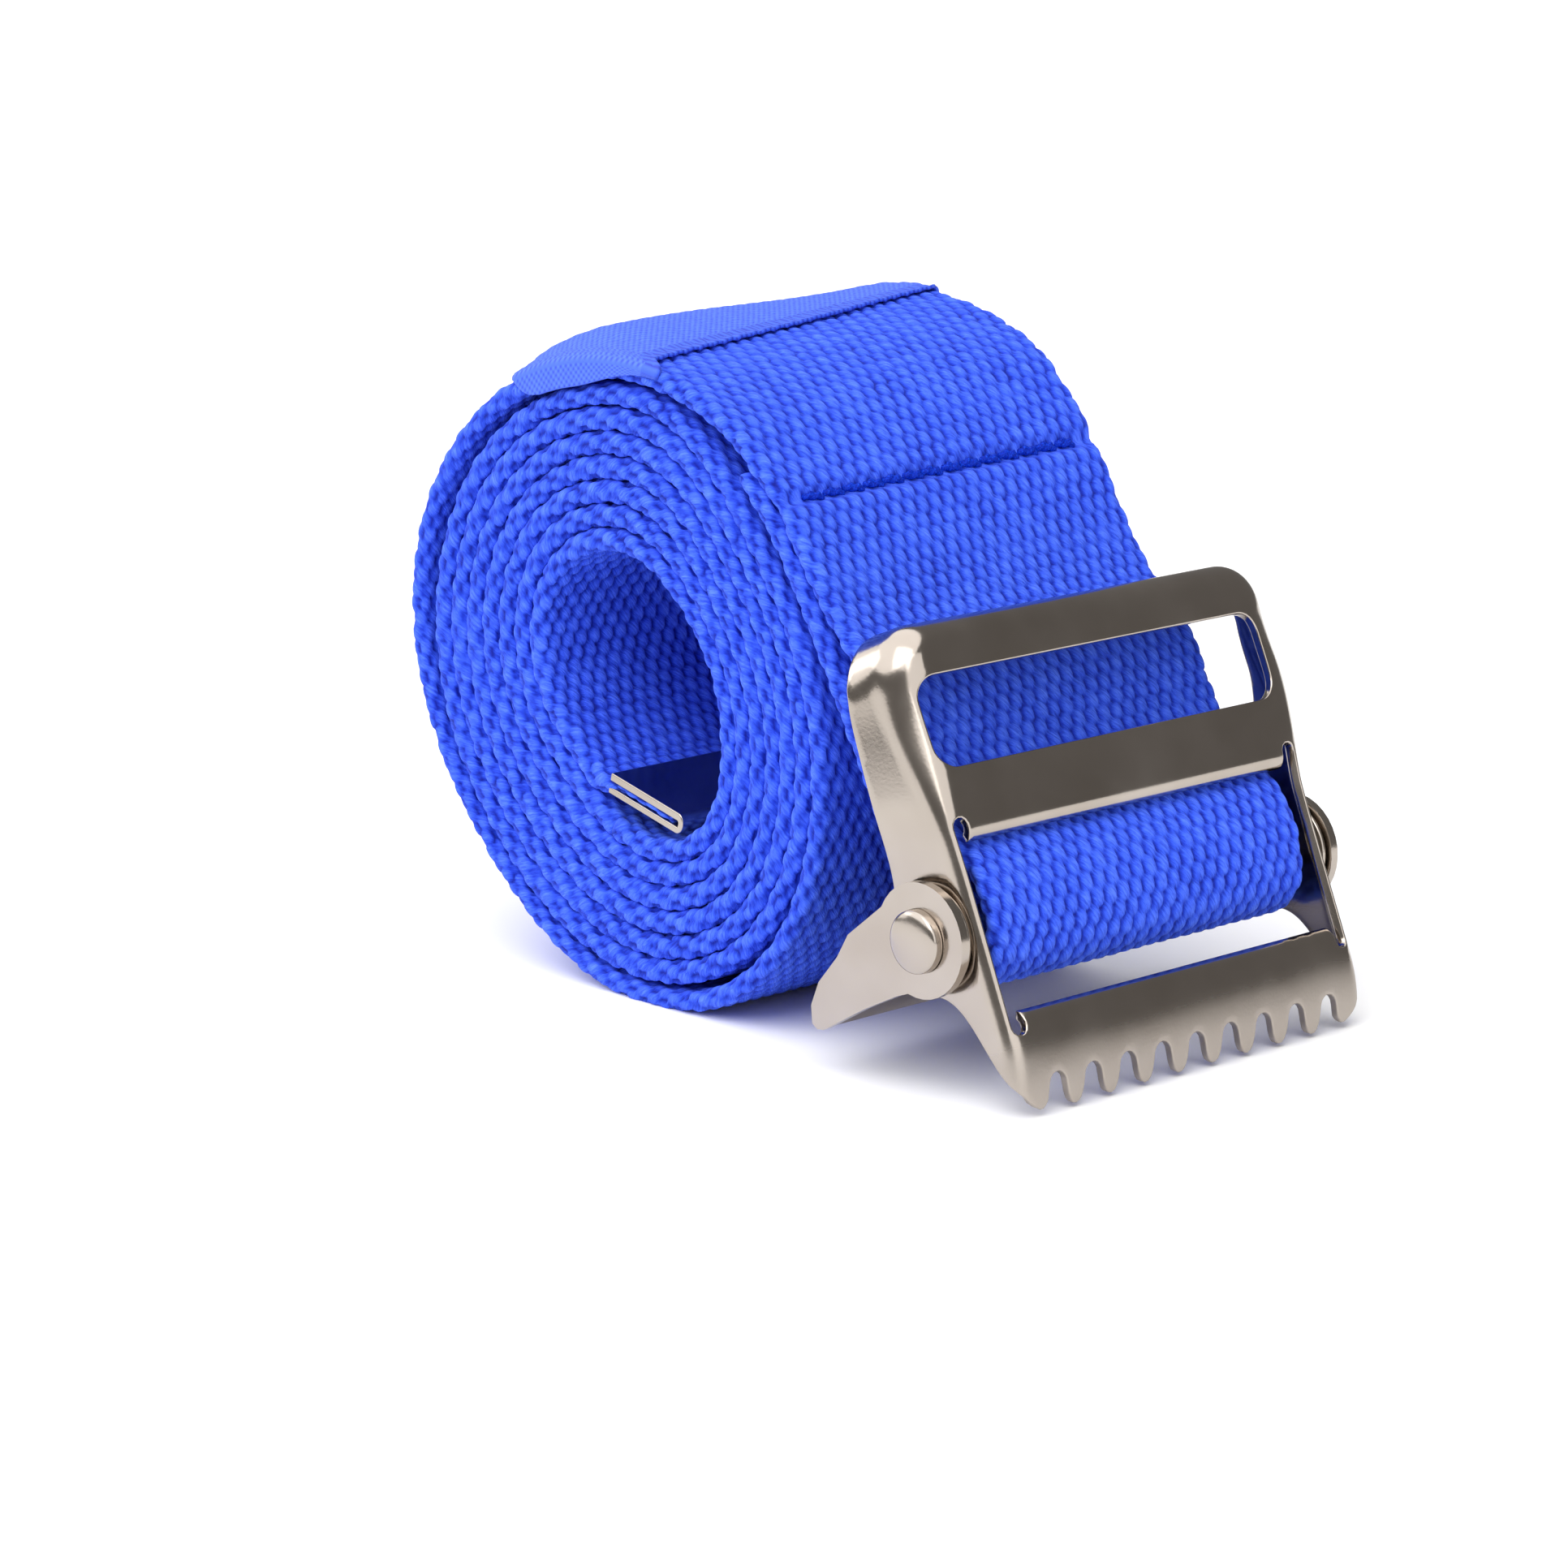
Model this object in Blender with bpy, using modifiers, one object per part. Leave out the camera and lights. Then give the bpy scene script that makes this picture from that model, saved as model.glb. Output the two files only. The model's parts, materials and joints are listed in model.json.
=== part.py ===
"""Rolled patient transfer (gait) belt: webbing roll, buckle loop, riveted toothed buckle.

Axes: X runs from the roll to the buckle, Y across the webbing, Z up. Z = 0 is the table.
"""

import math

import bmesh
import bpy
import numpy as np
from mathutils import Vector
from mathutils.geometry import delaunay_2d_cdt

MM = 0.001
MERGE = 0.00001
TURNED_STEPS = 32
LINE_STEP = 1.6

# webbing
WEB_W = 50.8
WEB_T = 1.95
ROLL_CENTRE = (-4.8, 37.4)
SPLIT_DEG = 72.3  # where the free layer leaves the roll, from +X towards +Z
STEP_DEG = 10.0
TURNS = 7.653
# every 30 degrees from the split, anticlockwise seen from -Y: radius of the outermost turn,
# slack between it and the next turn, and radius the turns wind down to
OUTER_R = (37.9, 37.7, 38.3, 38.3, 35.8, 33.6, 35.4, 38.8, 39.2, 35.6, 32.6, 30.6, 35.1)
SLACK = (0.0, 0.4, 1.2, 2.0, 0.8, 0.0, 0.0, 0.6, 0.8, 0.2, 0.0, 0.0, 0.0)
CORE_R = (12.8, 13.6, 13.6, 12.0, 10.1, 8.7, 9.7, 13.8, 17.6, 15.5, 13.8, 12.8, 12.8)
TIP_LIFT = 0.8

# buckle
PIVOT = (50.7, 18.3)
LEAN_DEG = 22.9
SHEET = 1.1
FRAME_HALF = 28.8
FACE_N = 7.0  # face plate in front of the pin
FACE_TOP = -33.8
BEND_R = 2.2
TOP_BEND_R = 4.0
CORNER_R = 3.3
SLOT1 = (-27.4, -17.1)
SLOT1_HALF = 26.9
SLOT2_EDGE = 27.75
MID_LIP_U = -10.6
LOW_LIP_U = 11.8
LIP_HALF = 25.7
LIP_R = 1.9
LIP_TURN = 1.2
TOOTH_PITCH = 5.63
TOOTH_GAPS = 9
TOOTH_GAP_W = 2.7
TOOTH_ROOT_U = 17.6
TOOTH_TIP_U = 21.5
TOOTH_BEND_U = 13.5
# right ear laid flat, from the end tooth round the pin to the top flange: across, down
EAR_OUTLINE = (
    (22.0, -39.9),
    (28.0, -39.6),
    (33.6, -36.8),
    (37.9, -31.9),
    (39.2, -26.5),
    (39.4, -20.0),
    (39.5, -7.5),
    (40.1, -3.4),
    (40.4, 0.0),
    (40.0, 2.8),
    (38.4, 5.4),
    (35.5, 7.2),
    (30.1, 17.0),
    (28.0, 19.2),
    (26.2, 20.7),
    (24.9, 21.2),
    (24.1, 20.4),
)
PIN_R = 2.0
HOLE_PIN_R = 2.3
BAR_R = 2.4
DISC_R = 6.5
HEAD_R = 3.6
HEAD_H = 1.35
WASHER_R = 6.0
WASHER_T = 0.6
# leg of the clamp bracket and the room inside it, from the pin: forward, up
LEG_OUTLINE = (
    (-11.1, -1.4),
    (-12.8, -4.3),
    (-15.7, -7.7),
    (-16.9, -10.6),
    (-16.7, -12.7),
    (-15.9, -13.2),
    (-14.9, -13.1),
    (-8.5, -9.4),
    (-3.4, -6.9),
)
LEG_ROOM = (
    (12.0, 12.0),
    (-9.6, 12.0),
    (-9.9, -1.6),
    (-11.7, -4.9),
    (-14.6, -8.3),
    (-15.7, -10.9),
    (-15.4, -16.0),
    (12.0, -16.0),
)
GAP = 0.3
BAR_HALF = 27.3
BASE_HALF = FRAME_HALF + GAP + WASHER_T + GAP + SHEET

# free layer and loop: centre line from the split, round the bar and back inside, from the pin
TAIL = (
    (-43.8, 54.1),
    (-39.8, 52.6),
    (-36.2, 50.8),
    (-33.2, 48.4),
    (-30.5, 46.0),
    (-27.8, 43.4),
    (-25.7, 40.4),
    (-23.5, 37.2),
    (-21.2, 33.9),
    (-18.6, 30.7),
    (-15.5, 27.8),
    (-12.5, 24.9),
    (-10.2, 20.8),
    (-8.0, 16.4),
    (-4.8, 12.9),
    (-1.0, 10.2),
    (1.9, 7.8),
    (4.1, 4.6),
    (5.2, 0.8),
    (4.9, -2.7),
    (2.6, -5.0),
    (-0.8, -5.2),
    (-4.2, -3.4),
    (-6.6, -0.4),
    (-8.6, 3.8),
    (-11.3, 9.6),
    (-14.4, 15.8),
    (-17.9, 22.1),
    (-21.3, 28.2),
    (-24.6, 33.8),
    (-27.9, 38.9),
    (-31.0, 42.9),
    (-34.4, 46.2),
)
LABEL_STEPS = 6
LABEL_T = 0.5
TIP_LENGTH = 11.0
TIP_T = 0.4
TIP_WEB_T = 1.0
STITCH = (24.2, 62.3)
STITCHES = 20
STITCH_R = 0.45
STITCH_HALF = 22.0

COLLECTION = "gait_belt"


def clear_scene():
    for o in list(bpy.data.objects):
        bpy.data.objects.remove(o, do_unlink=True)


def material(name, colour, metallic, roughness):
    m = bpy.data.materials.new(name)
    m.use_nodes = True
    b = m.node_tree.nodes["Principled BSDF"]
    b.inputs["Base Color"].default_value = (*colour, 1.0)
    b.inputs["Metallic"].default_value = metallic
    b.inputs["Roughness"].default_value = roughness
    m.diffuse_color = (*colour, 1.0)
    return m


def collection(name):
    c = bpy.data.collections.new(name)
    bpy.context.scene.collection.children.link(c)
    return c


def new_object(name, mesh, mat, coll):
    o = bpy.data.objects.new(name, mesh)
    coll.objects.link(o)
    if mat:
        mesh.materials.append(mat)
    return o


def sheet_object(name, verts, faces, mat, coll, thickness, offset=0.0):
    """An open surface (millimetres) given a thickness by Solidify."""
    mesh = bpy.data.meshes.new(name)
    mesh.from_pydata([tuple(float(c) * MM for c in v) for v in verts], [], faces)
    o = new_object(name, mesh, mat, coll)
    m = o.modifiers.new("thickness", "SOLIDIFY")
    m.thickness = thickness * MM
    m.offset = offset
    m.use_even_offset = True
    m.use_quality_normals = True
    return o


def band(rows):
    """Quads between equal rows of points; returns points and faces."""
    k = len(rows[0])
    faces = []
    for i in range(len(rows) - 1):
        for j in range(k - 1):
            a = i * k + j
            faces.append((a, a + 1, a + k + 1, a + k))
    return [p for row in rows for p in row], faces


def smooth_curve(points, step):
    """Points of a Catmull-Rom curve through the given ones, about `step` apart."""
    p = np.array(points, float)
    p = np.vstack([2 * p[0] - p[1], p, 2 * p[-1] - p[-2]])
    fine = []
    for i in range(1, len(p) - 2):
        t = np.linspace(0, 1, 40, endpoint=False)[:, None]
        a, b, c, d = p[i - 1], p[i], p[i + 1], p[i + 2]
        square = (2 * a - 5 * b + 4 * c - d) * t**2
        cube = (3 * b - a - 3 * c + d) * t**3
        fine.append(0.5 * (2 * b + (c - a) * t + square + cube))
    fine = np.vstack(fine + [p[-2][None]])
    along = np.concatenate([[0], np.cumsum(np.linalg.norm(np.diff(fine, axis=0), axis=1))])
    n = max(2, int(round(along[-1] / step)))
    at = np.linspace(0, along[-1], n + 1)
    return np.stack([np.interp(at, along, fine[:, k]) for k in range(fine.shape[1])], 1)


def normals_of(line):
    """Unit normals to the left of the direction of travel, in the X-Z plane."""
    d = np.gradient(line, axis=0)
    d /= np.linalg.norm(d, axis=1)[:, None]
    return np.stack([-d[:, 1], d[:, 0]], 1)


def ribbon(name, line, mat, coll, thickness, half_w=WEB_W / 2):
    """A flat strip of webbing along a line in the X-Z plane."""
    rows = [((x, -half_w, z), (x, half_w, z)) for x, z in line]
    return sheet_object(name, *band(rows), mat, coll, thickness)


def by_angle(values, deg):
    """Smooth interpolation of a list given every 30 degrees."""
    p = np.array([(30.0 * i, v) for i, v in enumerate(values)])
    c = smooth_curve(p, 1.0)
    return np.interp(deg, c[:, 0], c[:, 1])


def roll_line():
    """Centre line of the roll from the split to the core, in the X-Z plane."""
    deg = np.arange(0, TURNS * 360.0, STEP_DEG)
    a = deg % 360.0
    first = by_angle(OUTER_R, a)
    core = by_angle(CORE_R, a)
    stack = first - by_angle(SLACK, a) - core
    pitch = stack / (TURNS + 1.0 - a / 360.0)
    r = np.where(deg < 360.0, first, core + (TURNS + 1.0 - deg / 360.0) * pitch)
    # the last turn lifts to make room for the metal tip
    r = r - WEB_T / 2 - TIP_LIFT * np.clip((deg - deg[-1]) / 25.0 + 1.0, 0.0, 1.0) ** 2
    pad = 2
    kernel = np.hanning(2 * pad + 3)[1:-1]
    kernel /= kernel.sum()
    r[pad:-pad] = np.convolve(r, kernel, "valid")
    ang = np.radians(SPLIT_DEG + deg)
    cx, cz = ROLL_CENTRE
    line = np.stack([cx + r * np.cos(ang), cz + r * np.sin(ang)], 1)
    # the outer turn settles flat where it rests on the table
    line[:, 1] = np.maximum(line[:, 1], WEB_T / 2)
    # straight inside the metal tip
    left = np.cumsum(np.linalg.norm(np.diff(line[::-1], axis=0), axis=1))
    i = len(line) - 2 - int(np.argmax(left > TIP_LENGTH + 1.5))
    straight = np.linspace(line[i], line[-1], 6)
    return np.vstack([line[:i], straight])


def arc(cx, cz, r, start, end, n):
    """Points of an arc, degrees from +X towards +Z."""
    return [
        (cx + r * math.cos(math.radians(t)), cz + r * math.sin(math.radians(t)))
        for t in np.linspace(start, end, n)
    ]


def as_mesh(o):
    """Replace a curve, or a mesh with modifiers, by its evaluated, welded mesh."""
    bpy.context.view_layer.update()
    deps = bpy.context.evaluated_depsgraph_get()
    mesh = bpy.data.meshes.new_from_object(o.evaluated_get(deps))
    bm = bmesh.new()
    bm.from_mesh(mesh)
    bmesh.ops.remove_doubles(bm, verts=bm.verts, dist=MERGE)
    bmesh.ops.recalc_face_normals(bm, faces=bm.faces)
    bm.to_mesh(mesh)
    bm.free()
    new = bpy.data.objects.new(o.name, mesh)
    new.matrix_world = o.matrix_world.copy()
    for c in o.users_collection:
        c.objects.link(new)
    name = o.name
    bpy.data.objects.remove(o, do_unlink=True)
    new.name = name
    return new


def extruded(name, outline, half_w, mat, coll):
    """A flat outline of (x, z) points given a width across Y: a filled, extruded 2D curve."""
    curve = bpy.data.curves.new(name, "CURVE")
    curve.dimensions = "2D"
    curve.fill_mode = "BOTH"
    curve.extrude = half_w * MM
    s = curve.splines.new("POLY")
    s.points.add(len(outline) - 1)
    for p, (x, z) in zip(s.points, outline):
        p.co = (x * MM, z * MM, 0.0, 1.0)
    s.use_cyclic_u = True
    o = bpy.data.objects.new(name, curve)
    coll.objects.link(o)
    o.rotation_euler = (math.radians(90), 0, 0)
    o = as_mesh(o)
    if mat:
        o.data.materials.clear()
        o.data.materials.append(mat)
    return o


def cylinder(name, radius, y0, y1, x, z, mat, coll, sides=32):
    """A cylinder along Y."""
    mesh = bpy.data.meshes.new(name)
    bm = bmesh.new()
    bmesh.ops.create_cone(
        bm,
        cap_ends=True,
        segments=sides,
        radius1=radius * MM,
        radius2=radius * MM,
        depth=abs(y1 - y0) * MM,
    )
    bm.to_mesh(mesh)
    bm.free()
    o = new_object(name, mesh, mat, coll)
    o.location = (x * MM, (y0 + y1) / 2 * MM, z * MM)
    o.rotation_euler = (math.radians(90), 0, 0)
    return o


def cut_with(target, *cutters):
    for cutter in cutters:
        cutter.display_type = "WIRE"
        cutter.hide_render = True
        m = target.modifiers.new("cut", "BOOLEAN")
        m.operation = "DIFFERENCE"
        m.object = cutter


def turned(name, profile, side, mat, coll, closed=False):
    """A (y, radius) profile turned about the pin axis with a Screw modifier."""
    points = [(r * MM, 0.0, -y * MM) for y, r in profile]
    n = len(points)
    edges = [(i, i + 1) for i in range(n - 1)] + ([(n - 1, 0)] if closed else [])
    mesh = bpy.data.meshes.new(name)
    mesh.from_pydata(points, edges, [])
    o = new_object(name, mesh, mat, coll)
    m = o.modifiers.new("turn", "SCREW")
    m.steps = TURNED_STEPS
    m.render_steps = TURNED_STEPS
    m.use_merge_vertices = True
    m.merge_threshold = MERGE
    m.use_normal_calculate = True
    m.use_normal_flip = closed
    o.location = (PIVOT[0] * MM, 0, PIVOT[1] * MM)
    o.rotation_euler = (math.radians(90 * side), 0, 0)
    return o


def inside(poly, pts):
    """Which points lie inside a closed polygon (even-odd rule)."""
    p = np.array(poly)
    q = np.roll(p, -1, axis=0)
    x, y = pts[:, :1], pts[:, 1:]
    cross = (p[:, 1] > y) != (q[:, 1] > y)
    rise = np.where(q[:, 1] == p[:, 1], 1e-12, q[:, 1] - p[:, 1])
    at = (q[:, 0] - p[:, 0]) * (y - p[:, 1]) / rise + p[:, 0]
    return (np.sum(cross & (x < at), axis=1) % 2) == 1


def resample(poly, step):
    """Split the long edges of a closed polygon."""
    out = []
    for i, a in enumerate(poly):
        b = poly[(i + 1) % len(poly)]
        n = max(1, int(math.ceil(math.dist(a, b) / step)))
        out += [(a[0] + (b[0] - a[0]) * k / n, a[1] + (b[1] - a[1]) * k / n) for k in range(n)]
    return out


def tray_distance(y, u):
    """Distance outside the flat face, with the outward direction (y, up) there."""
    a = FRAME_HALF - BEND_R - CORNER_R
    qy = np.maximum(np.abs(y) - a, 0.0)
    qu = np.maximum((FACE_TOP + TOP_BEND_R + CORNER_R) - u, 0.0)
    length = np.maximum(np.hypot(qy, qu), 1e-9)
    return length - CORNER_R, qy / length, qu / length


def fold_tray(y, u):
    """Map the flat development of the frame to its folded shape, as (n, y, u)."""
    d, my, mu = tray_distance(y, u)
    out = np.maximum(d, 0.0)
    r = np.maximum(BEND_R * my**2 + TOP_BEND_R * mu**2, BEND_R)
    a = np.minimum(out / r, math.pi / 2)
    wall = np.maximum(out - r * math.pi / 2, 0.0)
    side = np.sign(y)
    n = FACE_N - r * (1 - np.cos(a)) - wall
    move = out - r * np.sin(a)
    yy = y - side * my * move
    uu = u + mu * move
    low = np.maximum(u - TOOTH_BEND_U, 0.0)
    n = n - 0.031 * low**2
    # the two curled bar edges roll back about their own axes
    for edge, way in ((MID_LIP_U, 1.0), (LOW_LIP_U, -1.0)):
        past = (u - edge) * way
        on = (past > 0) & (past < 3.0) & (np.abs(y) < LIP_HALF + 0.01)
        t = np.where(on, past / LIP_R, 0.0)
        n = np.where(on, n - LIP_R * (1 - np.cos(t)), n)
        uu = np.where(on, edge + way * LIP_R * np.sin(t), uu)
    return n, yy, uu


def frame_outline(step):
    """Developed outline of the frame and its holes, as lists of (y, u)."""
    right = list(EAR_OUTLINE)
    gaps = []
    w = TOOTH_GAP_W / 2
    for i in range(TOOTH_GAPS):
        y = TOOTH_PITCH * (i - (TOOTH_GAPS - 1) / 2)
        tip = TOOTH_TIP_U
        half = TOOTH_PITCH / 2
        root = arc(y, TOOTH_ROOT_U + w, w, 180, 360, 9)
        left, end = [], []
        if i > 0:
            left = [(y - half, tip), (y - half + 0.55, tip - 0.2), (y - half + 0.95, tip - 0.9)]
        if i < TOOTH_GAPS - 1:
            end = [(y + half - 0.95, tip - 0.9), (y + half - 0.55, tip - 0.2)]
        gaps += left + root + end
    outline = [(-y, u) for y, u in right] + gaps + list(reversed(right))
    h = SLOT1_HALF
    slot1 = []
    for cy, cu, start in (
        (h - 2.5, SLOT1[1] - 2.5, 0),
        (2.5 - h, SLOT1[1] - 2.5, 90),
        (2.5 - h, SLOT1[0] + 2.5, 180),
        (h - 2.5, SLOT1[0] + 2.5, 270),
    ):
        slot1 += arc(cy, cu, 2.5, start, start + 90, 7)
    top = MID_LIP_U + LIP_R * LIP_TURN
    low = LOW_LIP_U - LIP_R * LIP_TURN
    e = SLOT2_EDGE
    notch = (e - LIP_HALF) / 2
    half = [(LIP_HALF, top)]
    half += arc(LIP_HALF + notch, MID_LIP_U, notch, 180, 360, 9)
    half += arc(LIP_HALF + notch, LOW_LIP_U, notch, 0, 180, 7)
    half += [(LIP_HALF, low)]
    slot2 = half + [(-y, u) for y, u in reversed(half)]
    d = FACE_N - BEND_R + BEND_R * math.pi / 2
    hole_y = FRAME_HALF - BEND_R + d
    holes = [arc(side * hole_y, 0, HOLE_PIN_R, 0, 345, 24) for side in (-1, 1)]
    return resample(outline, step), [resample(slot1, step), resample(slot2, step)] + holes


def build_frame(mat, coll, step=2.0):
    """Toothed frame pressed from one sheet: face, two slots, curled bars, ears and teeth."""
    outline, holes = frame_outline(step)
    loops = [outline] + holes
    fixed = [p for loop in loops for p in loop]
    edges = []
    start = 0
    for loop in loops:
        k = len(loop)
        edges += [(start + i, start + (i + 1) % k) for i in range(k)]
        start += k
    # points close together on the bends and curls, and a sparse grid elsewhere
    fine = step * 0.68
    across = np.arange(-44.0, 44.01, fine)
    down = np.arange(-44.0, 24.0, fine)
    i, j = np.meshgrid(np.arange(len(across)), np.arange(len(down)), indexing="ij")
    y, u = across[i].ravel(), down[j].ravel()
    # a slight slant keeps the grid off the outline's own lines
    extra = np.stack([y + 0.013 * u, u + 0.007 * y], 1)
    d, _, _ = tray_distance(extra[:, 0], extra[:, 1])
    keep = (d > -0.6) & (d < 6.6) | (extra[:, 1] > TOOTH_BEND_U)
    curl = LIP_R * LIP_TURN
    keep |= (extra[:, 1] > MID_LIP_U - 0.5) & (extra[:, 1] < MID_LIP_U + curl)
    keep |= (extra[:, 1] < LOW_LIP_U + 0.5) & (extra[:, 1] > LOW_LIP_U - curl)
    keep |= ((i % 4 == 0) & (j % 4 == 0)).ravel()
    keep &= inside(outline, extra)
    for h in holes:
        keep &= ~inside(h, extra)
    near = np.array(fixed)
    pts = extra[keep]
    gap = np.min(np.linalg.norm(pts[:, None] - near[None], axis=2), axis=1)
    pts = pts[gap > step * 0.35]
    coords = [Vector(p) for p in fixed] + [Vector(p) for p in pts]
    out = delaunay_2d_cdt(coords, edges, [], 0, 1e-6)
    flat = np.array([tuple(v) for v in out[0]])
    tri = np.array([tuple(f) for f in out[2]])
    mid = flat[tri].mean(axis=1)
    ok = inside(outline, mid)
    for h in holes:
        ok &= ~inside(h, mid)
    tri = tri[ok]
    n, y, u = fold_tray(flat[:, 0], flat[:, 1])
    used = np.unique(tri)
    index = np.full(len(flat), -1)
    index[used] = np.arange(len(used))
    verts = np.stack([n, y, -u], 1)[used]
    faces = [tuple(int(index[k]) for k in f) for f in tri]
    body = sheet_object("buckle_frame", verts, faces, mat, coll, SHEET, -1.0)
    bm = bmesh.new()
    bm.from_mesh(body.data)
    bmesh.ops.recalc_face_normals(bm, faces=bm.faces)
    front = max(bm.faces, key=lambda f: f.calc_center_median().x)
    if front.normal.x < 0:
        bmesh.ops.reverse_faces(bm, faces=bm.faces)
    bm.to_mesh(body.data)
    bm.free()
    body.location = (PIVOT[0] * MM, 0, PIVOT[1] * MM)
    body.rotation_euler = (0, math.radians(-LEAN_DEG), 0)
    return body


def build_base(mat, coll, cut):
    """Clamp bracket: two ears on the pin, legs, and the plate that joins them at the back."""
    t = SHEET
    half = BASE_HALF
    x, z = PIVOT
    leg = arc(0, 0, DISC_R, -105, 155, 26) + list(LEG_OUTLINE)
    body = extruded("buckle_base", leg, half, mat, coll)
    hollow = extruded("cut_base", LEG_ROOM, half - t, None, cut)
    for o in (body, hollow):
        o.location = (x * MM, 0, z * MM)
    ends = [
        cylinder(f"cut_ear_{side}", HOLE_PIN_R, side * (half - 3), side * (half + 1), x, z, None, cut)
        for side in (-1, 1)
    ]
    cut_with(body, hollow, *ends)
    return body


def build_tip(line, mat, coll):
    """Folded metal end on the core end of the webbing: a U of sheet seen along Y."""
    mid = TIP_WEB_T / 2 + GAP + TIP_T / 2
    end = line[-1]
    d = line[-1] - line[-4]
    d /= np.linalg.norm(d)
    m = np.array([-d[1], d[0]])
    local = [(-TIP_LENGTH, mid)] + arc(GAP, 0, mid, 90, -90, 11) + [(-TIP_LENGTH, -mid)]
    hw = WEB_W / 2 + 0.2
    rows = []
    for a, b in local:
        x, z = end + a * d + b * m
        rows.append(((x, -hw, z), (x, hw, z)))
    return sheet_object("end_tip", *band(rows), mat, coll, TIP_T)


def build_label(line, mat, coll):
    """Cloth label: an inverted channel that covers the outer face and both edges."""
    out = WEB_T / 2 + GAP + LABEL_T / 2
    hw = WEB_W / 2 + GAP + LABEL_T / 2
    low = -WEB_T / 2 + 0.1
    corner = 0.5
    half = ((out, hw - corner), (out - corner, hw), (low, hw))
    section = [(a, -b) for a, b in reversed(half)] + list(half)
    rows = []
    for p, q in zip(line, -normals_of(line)):
        rows.append([((p + a * q)[0], y, (p + a * q)[1]) for a, y in section])
    return sheet_object("woven_label", *band(rows), mat, coll, LABEL_T)


def build_stitching(line, mat, coll):
    """One row of lock stitches across the loop's two layers: a beaded cord on the face."""
    at = np.array(STITCH)
    i = int(np.argmin(np.linalg.norm(line[: len(line) // 2] - at, axis=1)))
    centre = line[i] + normals_of(line)[i] * (WEB_T / 2 + GAP + STITCH_R)
    curve = bpy.data.curves.new("loop_stitching", "CURVE")
    curve.dimensions = "3D"
    curve.bevel_depth = STITCH_R * MM
    curve.bevel_resolution = 1
    curve.use_fill_caps = True
    n = STITCHES * 4 + 1
    s = curve.splines.new("POLY")
    s.points.add(n - 1)
    for k, p in enumerate(s.points):
        share = k / (n - 1)
        y = (2 * share - 1) * STITCH_HALF
        p.co = (centre[0] * MM, y * MM, centre[1] * MM, 1.0)
        p.radius = 0.65 + 0.35 * abs(math.sin(math.pi * share * STITCHES))
    o = bpy.data.objects.new("loop_stitching", curve)
    coll.objects.link(o)
    curve.materials.append(mat)
    return o


def build_pin(mat, coll):
    """Bar in the webbing loop, and a washer and a shouldered rivet at each end."""
    x, z = PIVOT
    cylinder("pivot_bar", BAR_R, -BAR_HALF, BAR_HALF, x, z, mat, coll, 28)
    y0 = FRAME_HALF + GAP
    y2 = y0 + WASHER_T
    washer = ((y0, HOLE_PIN_R), (y2, HOLE_PIN_R), (y2, WASHER_R), (y0, WASHER_R))
    y1 = BASE_HALF + GAP
    r = HEAD_R
    rivet = [(BAR_HALF + GAP, 0.0), (BAR_HALF + GAP, PIN_R), (y1, PIN_R), (y1, r - 0.15), (y1 + 0.15, r)]
    rivet += [(y1 + 0.75, r), (y1 + 1.05, r - 0.35), (y1 + 1.25, r * 0.6), (y1 + HEAD_H, 0.0)]
    for tag, side in (("left", -1), ("right", 1)):
        turned(tag + "_washer", washer, side, mat, coll, closed=True)
        turned(tag + "_rivet", rivet, side, mat, coll)


def thin_core_end(o, line):
    """The webbing is pressed thin where the metal tip grips it."""
    steps = np.linalg.norm(np.diff(line[::-1], axis=0), axis=1)
    left = np.concatenate([[0], np.cumsum(steps)])[::-1]
    t = np.clip(TIP_WEB_T + (left - TIP_LENGTH - 0.3) * 0.4, TIP_WEB_T, WEB_T)
    group = o.vertex_groups.new(name="thickness")
    for v in o.data.vertices:
        group.add([v.index], float(t[v.index // 2] / WEB_T), "REPLACE")
    o.modifiers["thickness"].vertex_group = "thickness"


def main():
    clear_scene()
    coll = collection(COLLECTION)
    cut = collection("cutters")
    web = material("webbing", (0.055, 0.13, 0.86), 0.0, 0.85)
    lab = material("label_cloth", (0.12, 0.24, 0.93), 0.0, 0.75)
    thread = material("thread", (0.02, 0.06, 0.5), 0.0, 0.7)
    nickel = material("nickel", (0.62, 0.58, 0.54), 1.0, 0.2)
    roll = roll_line()
    body = ribbon("webbing_roll", roll, web, coll, WEB_T)
    thin_core_end(body, roll)
    tail = smooth_curve(TAIL, LINE_STEP) + np.array(PIVOT)
    ribbon("webbing_tail", tail, web, coll, WEB_T)
    build_label(roll[:LABEL_STEPS], lab, coll)
    build_stitching(tail, thread, coll)
    build_tip(roll, nickel, coll)
    build_frame(nickel, coll)
    build_base(nickel, coll, cut)
    build_pin(nickel, coll)


main()
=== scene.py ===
"""Looks of the rolled gait belt: woven webbing, sewn label, stitches and the nickel buckle.

Lengths are in millimetres until a mesh is made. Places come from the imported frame.
"""

import json
import math

import bmesh
import bpy
import numpy as np
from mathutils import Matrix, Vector
from mathutils.geometry import delaunay_2d_cdt


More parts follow.
